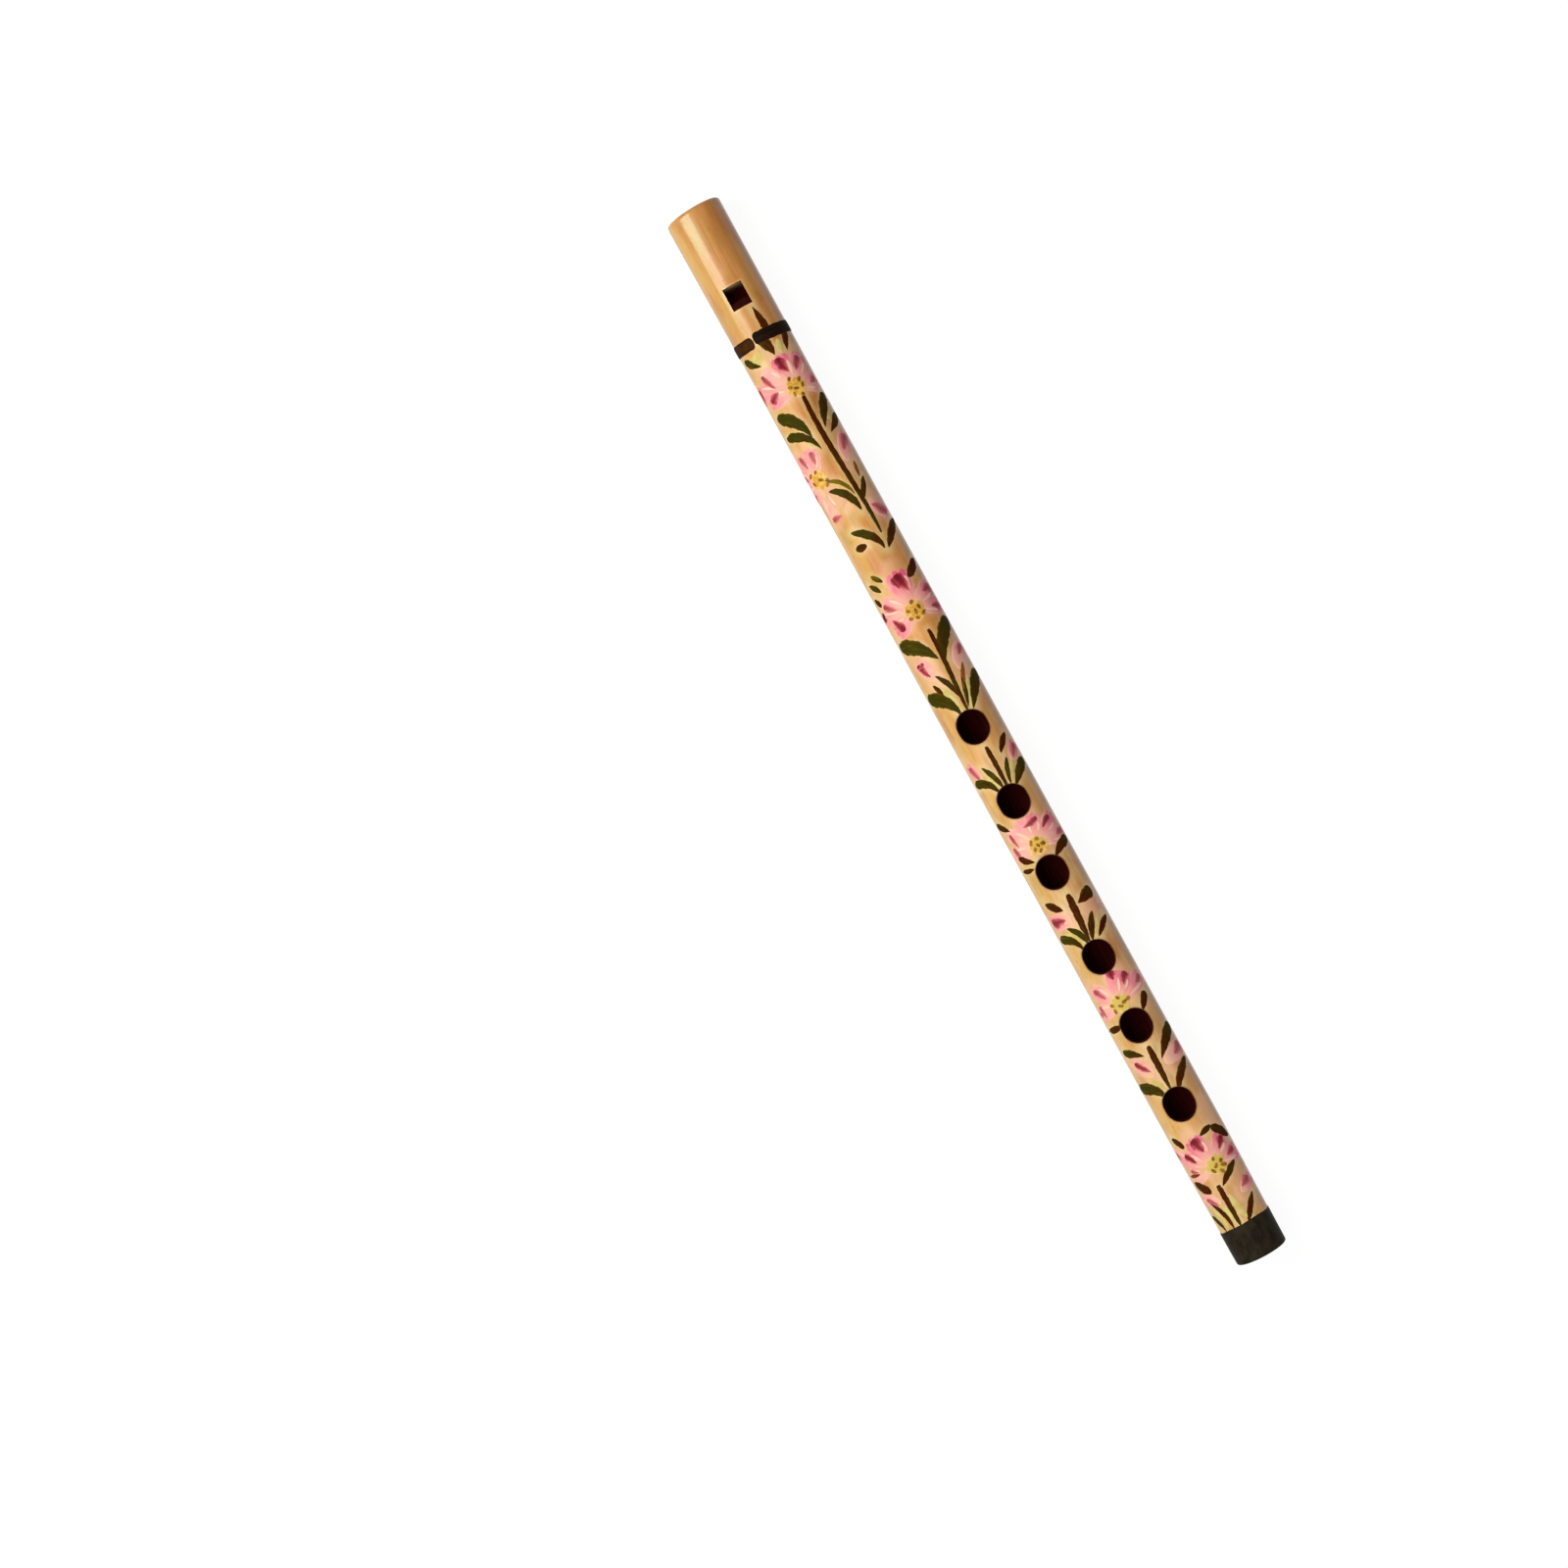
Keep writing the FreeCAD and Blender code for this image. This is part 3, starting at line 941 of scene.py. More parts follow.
# Each press of crimson: from the outer end to the thin end, its width and how strong the paint is
presses = [
    ((49.2, -1.4), (53.8, -2.6), 3.4, 1.0), ((51.0, -7.6), (54.4, -5.0), 2.6, 0.75),
    ((51.6, 5.4), (56.2, 3.2), 1.9, 0.75), ((59.6, 6.8), (58.0, 3.2), 2.7, 0.85),
    ((54.2, 9.9), (59.2, 10.0), 1.8, 0.9), ((58.6, -10.6), (59.4, -7.6), 2.4, 0.6),
    ((77.0, 3.4), (80.6, 3.6), 2.0, 0.5), ((76.8, 8.0), (80.6, 6.6), 2.0, 0.6),
    ((97.2, 8.0), (97.1, 4.4), 2.0, 0.6), ((82.2, 12.6), (83.6, 9.6), 2.4, 0.7),
    ((89.6, 12.8), (88.4, 9.8), 2.4, 0.7),
    ((118.9, -1.2), (124.2, -2.6), 3.7, 1.0), ((119.4, 0.2), (122.8, -0.6), 1.8, 0.9),
    ((126.2, -10.8), (126.4, -6.8), 2.9, 0.8), ((132.4, -10.8), (131.4, -7.2), 2.6, 0.8),
    ((125.2, 6.8), (127.6, 3.4), 2.2, 0.7), ((134.2, 3.9), (130.2, 6.0), 2.7, 0.95),
    ((128.0, 10.6), (129.0, 8.2), 2.2, 0.7),
    ((198.0, -3.6), (198.9, 0.9), 2.0, 0.8), ((199.4, -7.6), (201.4, -4.0), 2.0, 0.85),
    ((199.0, 6.4), (203.2, 5.4), 1.4, 0.65), ((203.0, 7.6), (207.2, 6.8), 2.0, 0.45),
    ((204.6, -10.4), (205.2, -7.0), 2.2, 0.5),
    ((246.0, -0.9), (248.6, -0.6), 2.7, 1.0), ((248.2, -4.6), (251.2, -2.6), 2.5, 0.85),
    ((251.2, -9.2), (252.6, -6.2), 2.2, 0.6), ((249.4, 7.0), (252.6, 4.4), 2.1, 0.55),
    ((254.0, 7.9), (257.6, 7.4), 1.6, 0.55), ((256.8, 9.8), (256.4, 8.0), 2.0, 0.5),
    ((299.4, 2.2), (303.4, 0.6), 3.5, 1.0), ((302.2, -6.8), (305.0, -4.2), 2.5, 0.9),
    ((307.0, -9.0), (307.8, -5.6), 2.4, 0.8), ((302.6, 6.6), (305.6, 4.2), 2.3, 0.95),
    ((307.6, 7.6), (308.4, 5.0), 1.5, 0.5), ((301.6, 10.8), (303.6, 9.2), 1.8, 0.7),
    ((76.9, -9.8), (80.6, -6.4), 3.3, 0.6), ((102.0, -9.8), (98.4, -5.8), 3.2, 0.6),
    ((144.6, -10.4), (147.0, -7.2), 2.7, 0.6), ((144.5, 6.2), (148.8, 4.0), 2.2, 0.9),
    ((144.6, 3.9), (145.6, 6.2), 1.2, 0.8), ((177.0, 7.9), (181.4, 6.0), 2.2, 0.45),
    ((176.6, -9.8), (180.0, -6.6), 2.4, 0.45), ((227.2, 8.8), (227.6, 3.8), 3.2, 0.85),
    ((273.4, -10.8), (275.4, -6.4), 3.0, 0.55), ((272.9, 6.4), (276.6, 3.0), 2.0, 0.85),
    ((316.0, -8.6), (317.4, -4.8), 2.6, 0.55), ((316.8, 7.6), (319.4, 4.4), 1.8, 0.4),
]
def inwards(outer, inner):
    """Steps of 1 mm from one place towards another, and square to that."""
    step = (inner - outer) / np.hypot(*(inner - outer))
    return step, np.array([-step[1], step[0]])


petals = Strokes(seed=11)
for middle, ends in flowers:
    middle = np.array(middle)
    for end, width, rosy in ends:
        end = np.array(end)
        inward, sideways = inwards(end, middle)
        for fan, reach in petal_fans:
            start = end + sideways * fan * width + inward * (reach + petals.chance.uniform(-0.15, 0.15))
            stop = middle - inward * 1.2 + sideways * fan * 0.8
            bend = (start + stop) / 2 + sideways * fan * 1.1
            tone = rosy * petals.chance.uniform(0.75, 1.15)
            lift = petal_lift + petals.chance.uniform(0, 0.015)
            petals.dab((start, bend, stop), width * petal_share, PETAL, lift, tone, petal_wobble)
        start = end + sideways * light_fan * width + inward * petals.chance.uniform(2.2, 3.2)
        stop = start + (middle - start) * petals.chance.uniform(0.4, 0.65)
        bend = (start + stop) / 2 + sideways * light_fan * 0.5
        petals.dab((start, bend, stop), width * light_share, BUD, light_lift, light_tone)
for line, width, rosy in buds:
    line = np.array(line)
    inward, sideways = inwards(line[0], line[-1])
    for fan in bud_fans:
        spread = np.array([[1.0], [0.9], [0.15]]) * sideways * fan * width
        tone = rosy * petals.chance.uniform(0.8, 1.1)
        lift = petal_lift + petals.chance.uniform(0, 0.02)
        petals.dab(line + spread, width * bud_share, BUD, lift, tone)


def brushwork(finish, bristles_per_mm, pools_per_mm):
    """What a paint varies with: bristle marks, pools, and its share along and across a stroke and its tone."""
    bristles = finish.grain(finish.measure("brush_mm", "all"), bristles_per_mm, 3, 0.6)
    pools = finish.grain(finish.millimetres(), (pools_per_mm, pools_per_mm, pools_per_mm), 2)
    from_end, sideways, tone = (finish.measure("stroke_share", part) for part in "XYZ")
    return bristles, pools, from_end, abs(sideways), tone


pink = Finish(bpy.data.materials.new("petal_paint"))
bristles, pools, from_end, from_spine, tone = brushwork(pink, (0.22, 3.4, 1), 0.35)
rosy = tone + (pools - 0.5) * 0.6 + (bristles - 0.5) * 0.5
dry = (from_end + (bristles - 0.5) * 0.4).rise(0.4, 0.95)
rim = (from_spine + (bristles - 0.5) * 0.6).rise(0.4, 1.0) + from_end.rise(0.1, 0.0) * 0.6
light = (tone * -1 - from_spine * 0.5 - from_end * 0.3 + (bristles - 0.5) * 0.8).rise(0.1, 0.6)
faint = tone.rise(0.26, 0.12) * tone.rise(-0.3, 0.0)
color = pink.coats(
    pink.blend(rosy.rise(0.0, 0.5), hue(252, 196, 178), hue(250, 148, 160)),
    ((rosy - from_end * 0.6).rise(0.2, 0.85), hue(232, 84, 128)),
    (dry * 0.85, hue(250, 196, 156)),
    (bristles.rise(0.54, 0.72) * 0.45, hue(255, 220, 206)),
    (rim * 0.6, hue(246, 190, 162)),
    (light * 0.7, hue(255, 212, 200)),
    (faint * 0.65, hue(222, 158, 108)),
)
pink.surface({"IOR": 1.45, "Specular IOR Level": 0.3}, color, 0.45 + bristles * 0.15, bristles, 0.03)
petals.piece("petals", pink.owner, "bamboo")

crimson = Strokes(seed=17, row_gap=0.2)
for outer, inner, width, strength in presses:
    outer, inner = np.array(outer), np.array(inner)
    along_press = inner - outer
    swerve = np.array([-along_press[1], along_press[0]])
    swerve = swerve * crimson.chance.uniform(-crimson_swerve, crimson_swerve)
    lift = crimson_lift + crimson.chance.uniform(0, 0.015)
    line = (outer, (outer + inner) / 2 + swerve, inner + along_press * crimson_overrun)
    crimson.dab(line, width * crimson_spread, DAB, lift, strength, petal_wobble)

red = Finish(bpy.data.materials.new("crimson_paint"))
bristles, pools, from_end, from_spine, strength = brushwork(red, (0.3, 3.6, 1), 0.6)
spread = from_end * 0.6 + from_spine * 0.75 + (bristles - 0.5) * 0.6 + (pools - 0.5) * 0.6
wet = strength.rise(0.5, 1.0)
color = red.coats(
    red.blend(wet, hue(174, 66, 78), hue(104, 4, 26)),
    (spread.rise(0.15, 0.7), red.blend(wet, hue(200, 104, 108), hue(168, 34, 60))),
    (spread.rise(0.5, 1.1), hue(238, 142, 142)),
)
red.surface({"IOR": 1.45, "Specular IOR Level": 0.25}, color, 0.45 + bristles * 0.15, bristles, 0.03)
crimson.piece("crimson", red.owner, "bamboo")

# Leaves and stems
# Quick strokes of a pointed brush in dark olive, which thins to brown at the tips. A few pale sage strokes
# lie under them. They are painted over the petals, and the holes cut them.
# More kinds of stroke
LEAF = (1.0, 0.42)
BLADE = (0.8, 0.65)
OVAL = (0.5, 0.5)
STEM = (0.16, 0.3)
CLUB = (0.3, 0.62)
leaf_lift = 0.085
sage_lift = 0.065
sage_tone = -2
# Each stroke: the line from its tip to its broad end, its width, its shape and its tone, 0 olive to 1 brown
stems = [
    (((61.6, -3.0), (74.2, -2.7), (89.2, -3.5), (106.6, -3.9)), 1.75, STEM, 0.75),
    (((136.8, -2.2), (145.2, -2.1), (154.2, -1.5), (162.8, -1.0)), 1.5, STEM, 0.75),
    (((173.8, -0.5), (179.6, -0.6), (186.9, -0.5)), 1.5, STEM, 0.75),
    (((221.4, -0.8), (228.2, -0.4), (236.5, 0.1)), 2.3, CLUB, 0.9),
    (((269.9, -0.1), (276.2, 0.0), (284.2, 0.1)), 2.0, CLUB, 0.8),
    (((314.0, 1.5), (321.2, 1.3), (327.0, 1.2)), 1.7, STEM, 0.75),
]
leaves = [
    (((33.0, -2.3), (36.2, -2.7), (41.2, -3.0)), 2.4, LEAF, 1.0),
    (((48.3, -1.4), (45.2, -1.0), (42.0, 0.4)), 3.4, LEAF, 0.7),
    (((48.6, -5.5), (46.2, -6.5), (42.2, -8.5)), 2.6, LEAF, 0.9),
    (((49.2, 3.6), (47.8, 5.9), (45.4, 9.3)), 2.7, LEAF, 0.3),
    (((73.0, -4.3), (68.8, -6.3), (63.6, -10.9)), 3.5, LEAF, 0.6),
    (((74.8, -5.1), (73.0, -7.9), (70.2, -11.9)), 2.9, LEAF, 0.6),
    (((73.8, 0.5), (69.8, 1.6), (66.4, 4.2), (64.6, 8.5)), 4.1, LEAF, 0.1),
    (((78.0, -0.2), (73.6, 1.8), (71.4, 4.9), (70.8, 9.1)), 3.0, LEAF, 0.35),
    (((96.0, -4.0), (92.6, -6.0), (89.8, -7.9)), 1.9, BLADE, 0.7),
    (((89.6, -6.5), (87.4, -6.9), (84.8, -7.4)), 1.4, BLADE, 1.3),
    (((98.4, -1.9), (93.7, -0.8), (90.9, 1.4), (89.4, 4.1)), 2.5, BLADE, 0.4),
    (((93.6, -2.4), (89.2, -0.7), (87.2, 1.7), (86.8, 3.8)), 1.3, BLADE, -0.5),
    (((111.3, -3.6), (108.2, -6.4), (106.0, -9.1), (104.4, -12.3)), 2.9, BLADE, 0.6),
    (((111.0, -2.5), (106.9, -1.3), (104.6, 0.9), (102.7, 4.3)), 2.6, BLADE, 0.5),
    (((107.7, 1.7), (107.7, 3.5), (107.6, 5.5)), 2.3, OVAL, 0.7),
    (((117.0, -10.5), (119.0, -7.9), (121.2, -4.5)), 3.0, OVAL, 1.0),
    (((119.1, 2.7), (117.8, 3.9), (116.0, 5.5)), 1.7, BLADE, -0.3),
    (((121.4, 4.7), (120.0, 6.0), (118.2, 8.0)), 2.0, BLADE, 0.0),
    (((125.0, 7.4), (123.8, 8.2), (122.4, 9.4)), 2.1, OVAL, 0.8),
    (((129.6, 9.6), (128.2, 9.2), (126.6, 8.6)), 1.9, OVAL, 0.9),
    (((147.6, -2.2), (142.7, -3.9), (139.0, -6.9), (136.6, -11.5)), 4.7, LEAF, 0.4),
    (((145.8, -0.8), (141.8, 1.8), (139.2, 5.0), (138.6, 9.9)), 4.9, LEAF, 0.05),
    (((156.8, -2.9), (152.8, -4.9), (149.4, -7.0)), 1.5, BLADE, 1.4),
    (((161.6, -1.6), (157.2, -3.2), (153.0, -4.2)), 1.5, BLADE, 0.0),
    (((162.8, -2.7), (158.8, -5.3), (155.6, -8.3), (153.3, -12.1)), 4.2, LEAF, 0.4),
    (((158.0, -0.8), (153.2, 0.3), (149.5, 2.6)), 1.7, BLADE, 0.5),
    (((163.0, 1.3), (158.6, 2.6), (156.1, 5.3), (155.4, 10.1)), 4.7, LEAF, 0.15),
    (((155.4, 3.0), (153.8, 3.6), (151.6, 4.7)), 1.6, BLADE, 1.1),
    (((177.4, -3.5), (175.0, -5.5), (172.8, -8.4)), 2.1, BLADE, 1.0),
    (((186.6, -1.9), (182.6, -2.8), (179.0, -4.4)), 1.5, BLADE, 0.4),
    (((187.9, -2.6), (184.4, -6.0), (181.6, -10.7)), 3.4, LEAF, 0.4),
    (((187.2, 0.6), (182.6, 1.6), (178.6, 3.7)), 1.7, BLADE, 0.4),
    (((188.0, 2.4), (184.2, 3.7), (182.6, 6.1), (183.0, 9.5)), 3.1, LEAF, 0.4),
    (((198.3, 5.3), (197.0, 7.2), (195.3, 10.2)), 2.5, LEAF, 0.8),
    (((209.2, 3.0), (208.1, 5.1), (206.2, 7.8)), 2.5, LEAF, 0.9),
    (((210.8, 4.3), (210.7, 6.7), (210.4, 9.5)), 1.6, BLADE, 0.8),
    (((211.0, -2.7), (208.5, -6.0), (207.3, -11.1)), 3.4, LEAF, 0.9),
    (((225.1, -2.1), (224.3, -4.9), (223.2, -8.7)), 4.0, LEAF, 0.8),
    (((225.0, 2.7), (223.2, 4.9), (221.3, 7.4)), 2.7, BLADE, 0.8),
    (((236.4, -0.8), (232.4, -2.5), (228.8, -4.8)), 2.1, BLADE, 0.7),
    (((236.2, -3.0), (233.9, -5.6), (231.9, -9.3)), 2.1, BLADE, 1.0),
    (((236.8, 0.8), (232.7, 1.9), (230.1, 4.4)), 1.9, BLADE, 0.2),
    (((238.2, 3.0), (234.5, 4.1), (233.0, 6.3), (233.1, 9.6)), 3.1, LEAF, 0.3),
    (((260.8, -3.6), (258.3, -5.6), (256.0, -7.7)), 2.6, LEAF, 1.0),
    (((261.4, 3.7), (261.8, 6.5), (261.8, 10.0)), 2.2, BLADE, 0.7),
    (((275.0, -1.8), (271.9, -4.6), (269.4, -7.7), (267.8, -11.9)), 3.6, LEAF, 0.7),
    (((285.6, -1.8), (281.8, -4.1), (279.7, -6.7), (277.8, -10.1)), 2.7, BLADE, 0.8),
    (((272.2, 2.2), (270.4, 5.0), (269.1, 9.0)), 2.7, LEAF, 0.4),
    (((286.4, 2.3), (282.5, 4.1), (281.0, 6.9), (281.2, 10.9)), 3.9, LEAF, 0.3),
    (((303.4, -10.5), (300.8, -7.5), (298.4, -4.9)), 3.3, OVAL, 0.8),
    (((299.2, -0.7), (298.6, -2.9), (297.9, -5.1)), 1.8, BLADE, 0.9),
    (((300.6, 5.3), (299.0, 6.3), (297.0, 8.3)), 2.3, OVAL, 0.8),
    (((314.8, 0.3), (312.4, -2.7), (310.0, -6.8)), 2.2, BLADE, 0.7),
    (((315.3, 4.3), (313.5, 6.2), (311.1, 9.1)), 3.3, OVAL, 0.8),
    (((309.1, 4.7), (309.1, 6.9), (309.0, 9.2)), 1.3, BLADE, 1.2),
    (((327.6, -1.1), (324.2, -3.4), (320.4, -7.1)), 2.0, BLADE, 0.8),
    (((327.6, 3.5), (322.8, 4.0), (318.0, 6.8)), 1.6, BLADE, 0.8),
    (((327.6, 6.4), (325.0, 7.2), (322.0, 9.7)), 1.9, LEAF, 0.3),
]
# Pale sage strokes that fill out the leaves, each its line and its width
pale_strokes = [
    (((44.6, 2.4), (46.4, 3.4), (48.0, 6.4)), 3.4),
    (((44.2, -4.4), (46.2, -4.0), (48.4, -3.6)), 2.2),
    (((77.0, 0.8), (73.4, 2.9), (70.2, 6.5), (69.6, 9.6)), 1.7),
    (((69.4, -5.0), (70.6, -7.2), (68.4, -9.6)), 1.4),
    (((162.8, -2.2), (158.5, -3.9), (153.5, -6.3)), 1.6),
    (((162.8, 0.3), (157.5, 1.3), (152.0, 4.0)), 1.7),
    (((187.8, 1.3), (183.6, 2.9), (181.0, 5.9)), 2.1),
    (((187.6, -1.6), (183.0, -4.0), (180.0, -6.6)), 1.7),
    (((236.8, -1.8), (233.4, -4.0), (230.6, -6.4)), 1.5),
    (((237.2, 2.2), (233.4, 3.4), (231.2, 6.4)), 1.6),
    (((284.6, 1.3), (280.6, 2.8), (278.4, 5.4)), 1.5),
    (((326.8, 2.3), (322.4, 2.6), (318.0, 4.4)), 1.6),
    (((326.8, 5.1), (322.6, 5.8), (319.2, 7.8)), 1.5),
    (((326.8, -2.4), (322.2, -0.6), (317.6, -0.2)), 2.2),
]
greenery = Strokes(seed=23, row_gap=0.2)
for line, width in pale_strokes:
    greenery.dab(line, width, BLADE, sage_lift, sage_tone)
for line, width, shape, tone in stems + leaves:
    lift = leaf_lift + greenery.chance.uniform(0, 0.03)
    greenery.dab(line, width, shape, lift, tone, 0.06)

leaf_paint = Finish(bpy.data.materials.new("leaf_paint"))
bristles, pools, from_tip, from_spine, tone = brushwork(leaf_paint, (0.25, 3.6, 1), 0.4)
brown = (tone * 0.8 + (0.45 - from_tip) * 0.6 + (pools - 0.5) * 1.2 + (bristles - 0.5) * 0.4).rise(0.1, 0.8)
young = (tone * -1 + (pools - 0.5)).rise(0.1, 0.5)
ruddy = (tone + (pools - 0.5) * 0.5).rise(1.05, 1.4)
rim = (from_spine + (bristles - 0.5) * 0.4 + (pools - 0.5) * 0.4).rise(0.7, 1.05)
sage = leaf_paint.blend(pools.rise(0.3, 0.7), hue(224, 202, 136), hue(208, 182, 106))
sage_rim = (from_spine + (bristles - 0.5) * 0.6).rise(0.4, 1.0) * 0.7
color = leaf_paint.coats(
    leaf_paint.blend(brown, hue(62, 54, 4), hue(74, 22, 0)),
    (young, hue(124, 98, 14)),
    (ruddy, hue(156, 84, 34)),
    (bristles.rise(0.54, 0.72) * 0.5, hue(116, 92, 22)),
    (bristles.rise(0.44, 0.3) * 0.6, hue(34, 18, 2)),
    (rim * 0.6, hue(132, 94, 34)),
    (tone.rise(-1.2, -1.8), leaf_paint.blend(sage_rim, sage, hue(224, 184, 122))),
)
leaf_paint.surface({"IOR": 1.4, "Specular IOR Level": 0.05}, color, 0.55 + bristles * 0.15, bristles, 0.03)
greenery.piece("leaves", leaf_paint.owner, "bamboo")


stain_margin = 6
stain_samples = 24


def stain(lines, reach):
    """How strongly thin paint has run from some strokes into the cane round them, 1 under a stroke."""
    amount = np.zeros(len(cane_x))
    arc = cane_turn * plain_radius(cane_x)
    for line, width in lines:
        ends = [x for x, spot_arc in line]
        near = np.where((cane_x > min(ends) - stain_margin) & (cane_x < max(ends) + stain_margin))[0]
        away = np.full(len(near), np.inf)
        for x, spot_arc in zip(*smooth_line(line, np.linspace(0, 1, stain_samples))):
            away = np.minimum(away, np.hypot(cane_x[near] - x, arc[near] - spot_arc))
        amount[near] = np.maximum(amount[near], np.clip(1 - (away - width / 2) / reach, 0, 1))
    return amount


# A stain spreads from inside its stroke, so most of these widths are less than the strokes' own. The
# blotches are stains that no stroke lies on.
leaf_lines = [(line, width * 0.6) for line, width, shape, tone in leaves + stems]
petal_lines = [((end, middle), width * 0.8) for middle, ends in flowers for end, width, rosy in ends]
bud_lines = [(line, width) for line, width, rosy in buds]
blotches = [(((290.8, -6.9), (296.4, -6.6)), 2.6), (((312.6, -6.2), (315.4, -5.4)), 2.0)]
hold(cane, "sage", stain(leaf_lines, 1.8) ** 1.1)
hold(cane, "blush", stain(petal_lines + bud_lines + blotches, 2.0))

# Pollen
# A dab of yellow in the middle of each flower, with ochre dots set into it from the tip of a thin brush.
pollen_lift = 0.1
dot_rise = 0.07
heart_slants = np.radians((10, 55, 95, 140))
heart_spread = 0.35
heart_share = 0.62
heart_wobble = 0.1
# Each heart: its middle, its width and its tone, lower for a greener yellow, then its dots
pollen = [
    ((58.9, -2.5), 6.2, 0, [
        (57.3, -4.2), (59.2, -4.4), (56.1, -1.6), (58.4, -0.7), (59.3, -2.3), (60.6, -1.0), (61.6, -3.1)]),
    ((85.3, 5.0), 6.0, 0, [
        (82.7, 4.9), (85.3, 4.4), (86.3, 2.7), (83.0, 7.4), (85.5, 7.5), (87.4, 3.4)]),
    ((130.4, -1.5), 6.2, -0.2, [
        (127.9, -1.7), (129.9, -3.0), (130.8, -1.6), (129.8, 0.4), (132.0, -3.4), (132.6, -1.2),
        (132.1, 0.6)]),
    ((205.2, -0.1), 5.8, -0.3, [
        (203.5, -0.6), (205.4, -1.6), (207.0, -0.1), (206.0, 1.2), (203.9, 1.4), (205.3, -0.1)]),
    ((255.7, 1.0), 5.8, -0.6, [
        (253.8, 0.9), (255.3, -1.6), (255.7, -0.3), (256.4, 1.2), (255.3, 3.5), (257.1, 3.4)]),
    ((308.7, -1.0), 6.2, -0.6, [
        (306.7, -0.9), (308.1, -2.7), (309.5, -2.9), (308.8, -0.7), (309.9, 0.5), (310.9, -1.7)]),
]
yellow = Strokes(seed=31)
for middle, size, tone, dots in pollen:
    for slant in heart_slants:
        reach = np.array([math.cos(slant), math.sin(slant)]) * size / 2
        spot = np.array(middle) + yellow.chance.uniform(-heart_spread, heart_spread, 2)
        yellow.dab((spot - reach, spot + reach), size * heart_share, OVAL, pollen_lift, tone, heart_wobble)
    for dot in dots:
        reach = yellow.chance.uniform(-0.5, 0.5, 2)
        reach = reach / np.hypot(*reach) * yellow.chance.uniform(0.6, 0.95)
        width = yellow.chance.uniform(1.05, 1.4)
        yellow.dab((dot - reach, dot + reach), width, OVAL, pollen_lift + dot_rise, 1, heart_wobble)

pollen_paint = Finish(bpy.data.materials.new("pollen_paint"))
at = pollen_paint.millimetres()
daub = pollen_paint.grain(at, (0.9, 0.9, 0.9), 3)
tone = pollen_paint.measure("stroke_share", "Z")
from_middle = abs(pollen_paint.measure("stroke_share", "X") * 2 - 1)
from_spine = abs(pollen_paint.measure("stroke_share", "Y"))
edge = (from_middle ** 2 + from_spine ** 2 + (daub - 0.5) * 1.2).rise(0.25, 1.1)
ochre = pollen_paint.blend((daub + from_spine * 0.3).rise(0.4, 0.75), hue(104, 56, 6), hue(178, 122, 20))
color = pollen_paint.coats(
    pollen_paint.blend(daub.rise(0.35, 0.65), hue(220, 148, 44), hue(240, 186, 90)),
    ((tone * -1).rise(0.1, 0.6), hue(216, 184, 84)),
    (edge * 0.85, hue(246, 196, 140)),
    (tone.rise(0.2, 0.8), ochre),
)
pollen_paint.surface({"IOR": 1.45, "Specular IOR Level": 0.4}, color, 0.45 + daub * 0.15, daub, 0.04)
yellow.piece("pollen", pollen_paint.owner, "bamboo")

# Floor and light
# The flute lies on white paper. A broad soft lamp hangs at its front side, a small one beyond the mouth end
# draws the bright streak along the head, and a faint one lights the foot from the far side.
floor_reach = 3.0
paper_glow = 0.945
sky_glow = 0.17
paper = Finish(bpy.data.materials.new("paper"))
rays = [paper.node("ShaderNodeLightPath", {}, {}, name)
        for name in ("Is Camera Ray", "Is Glossy Ray", "Is Transmission Ray")]
seen = (rays[0] + rays[1] + rays[2]).rise(0, 1)
matte = paper.node("ShaderNodeBsdfDiffuse", {}, {"Color": (0.4, 0.38, 0.35, 1)})
shade = paper.node("ShaderNodeBsdfDiffuse", {}, {"Color": (0.08, 0.08, 0.08, 1)})
glow = paper.node("ShaderNodeEmission", {}, {"Color": (1, 1, 1, 1), "Strength": paper_glow})
white = paper.node("ShaderNodeAddShader", {}, {0: shade, 1: glow})
paper.node("ShaderNodeOutputMaterial", {}, {
    "Surface": paper.node("ShaderNodeMixShader", {}, {0: seen, 1: matte, 2: white})})
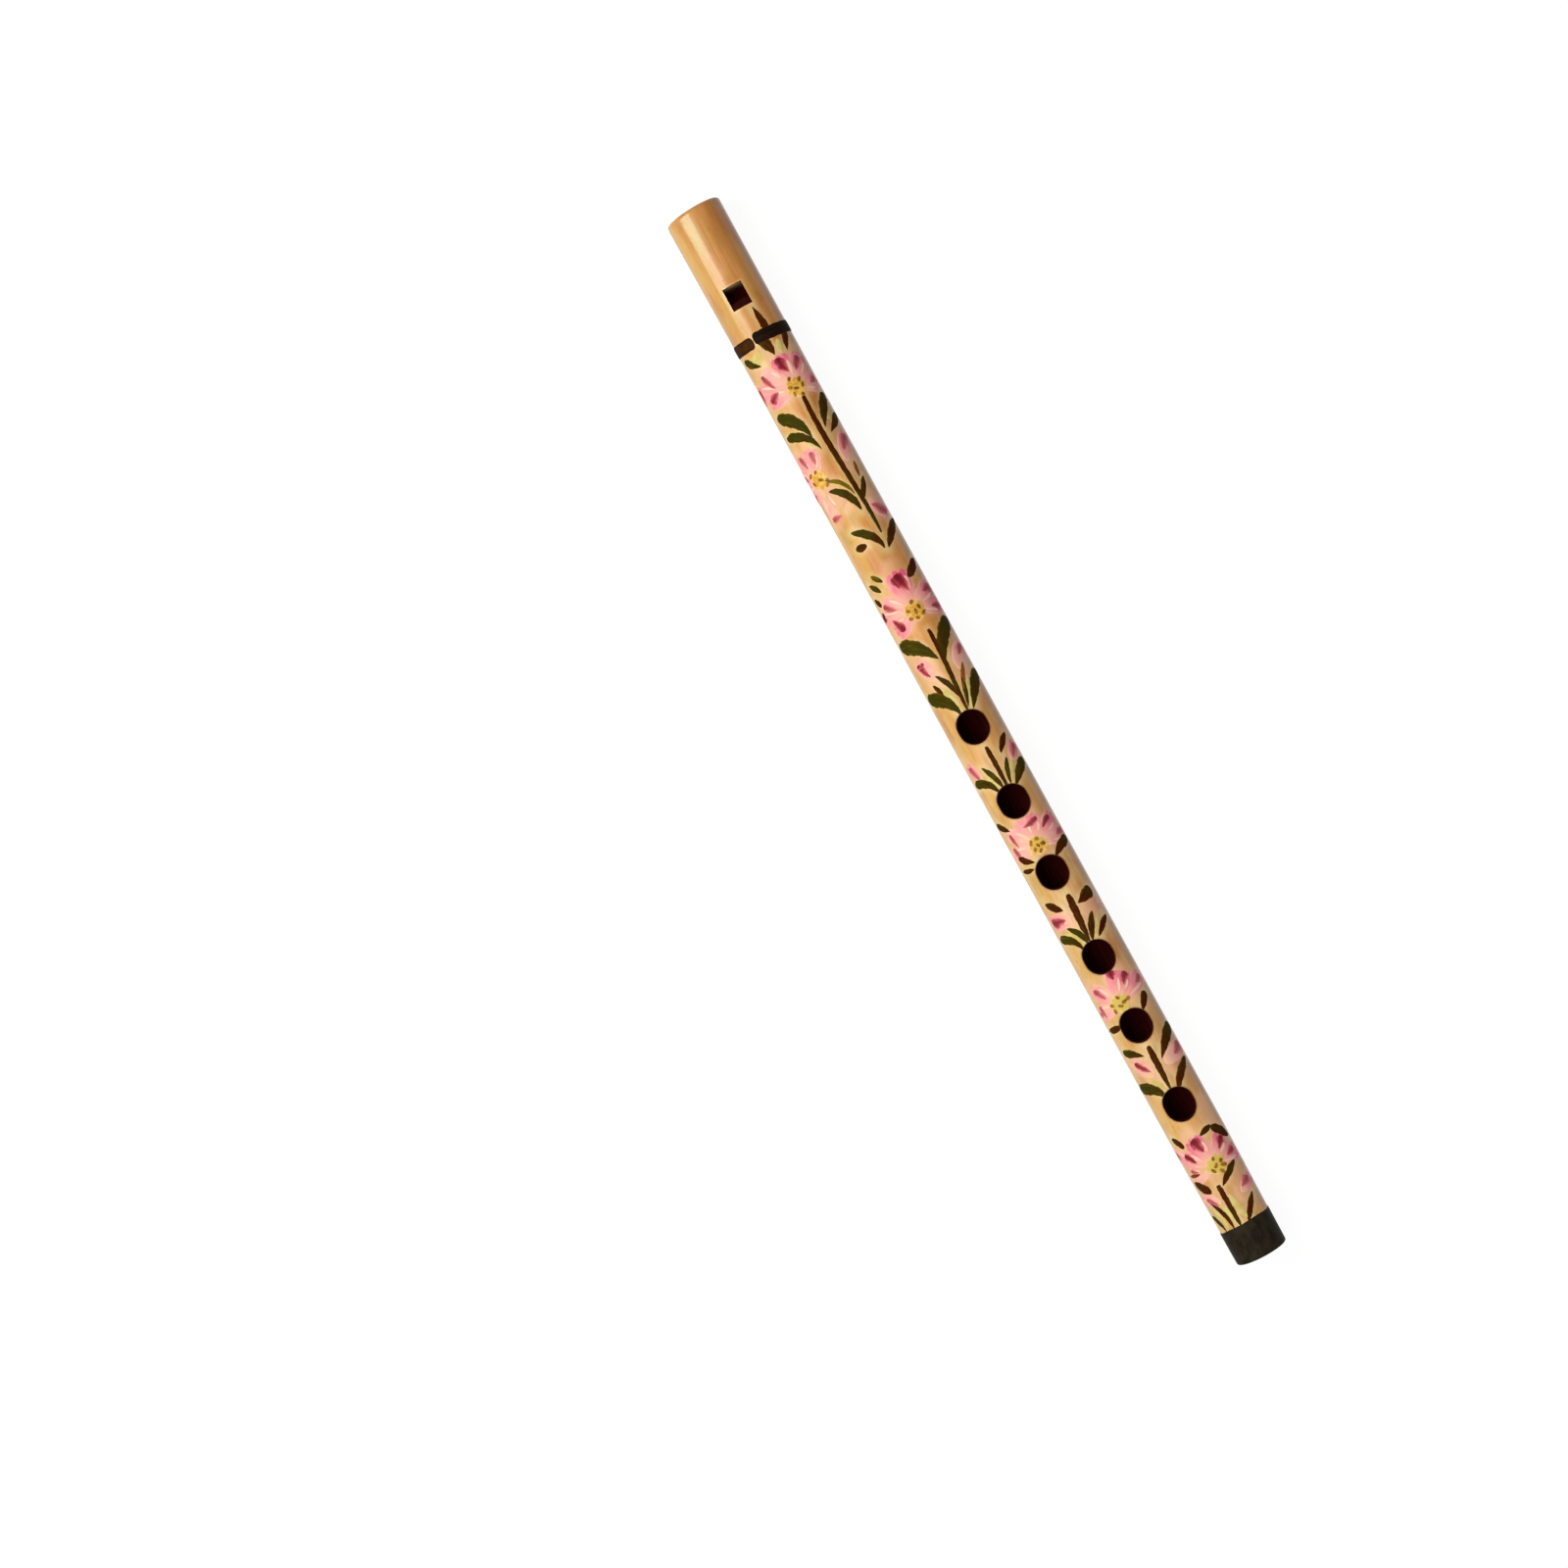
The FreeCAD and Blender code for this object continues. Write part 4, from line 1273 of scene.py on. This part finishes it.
floor_corners = [(-floor_reach, -floor_reach, 0), (floor_reach, -floor_reach, 0),
                 (floor_reach, floor_reach, 0), (-floor_reach, floor_reach, 0)]
floor_mesh = bpy.data.meshes.new("floor")
floor_mesh.from_pydata(floor_corners, [], [(0, 1, 2, 3)])
floor_mesh.materials.append(paper.owner)
floor = bpy.data.objects.new("floor", floor_mesh)
bpy.context.scene.collection.objects.link(floor)

# Each lamp: its name, its place along the flute, its lean to the front side, its distance, its sizes in
# metres, its watts and its tint
lamps = (
    ("broad_lamp", 0.09, 24, 0.95, 1.3, 0.7, 5.9, (1, 0.99, 0.95)),
    ("streak_lamp", -0.35, 37, 0.9, 0.2, 0.66, 5.8, (0.84, 1, 0.74)),
    ("foot_lamp", 0.32, -42, 0.6, 0.4, 0.35, 0.5, (1, 0.99, 0.97)),
)
for name, x, lean, reach, length, height, watts, tint in lamps:
    lamp = bpy.data.objects.new(name, bpy.data.lights.new(name, "AREA"))
    lamp.data.shape = "RECTANGLE"
    lamp.data.size = length
    lamp.data.size_y = height
    lamp.data.energy = watts
    lamp.data.color = tint
    angle = math.radians(lean)
    aim = Vector((0, -math.sin(angle), math.cos(angle)))
    lamp_axes = Matrix((along, aim.cross(along), aim)).transposed().to_4x4()
    lamp.matrix_world = Matrix.Translation(flute_middle + along * x + aim * reach) @ lamp_axes
    bpy.context.scene.collection.objects.link(lamp)

world = bpy.data.worlds.new("world")
bpy.context.scene.world = world
sky = Finish(world)
rays = [sky.node("ShaderNodeLightPath", {}, {}, name)
        for name in ("Is Camera Ray", "Is Transmission Ray")]
seen = (rays[0] + rays[1]).rise(0, 1)
light = sky.node("ShaderNodeBackground", {}, {"Color": (1, 1, 1, 1), "Strength": sky_glow})
backdrop = sky.node("ShaderNodeBackground", {}, {"Color": (1, 1, 1, 1), "Strength": 1.0})
sky.node("ShaderNodeOutputWorld", {}, {
    "Surface": sky.node("ShaderNodeMixShader", {}, {0: seen, 1: light, 2: backdrop})})

bpy.context.scene.view_settings.view_transform = "Standard"
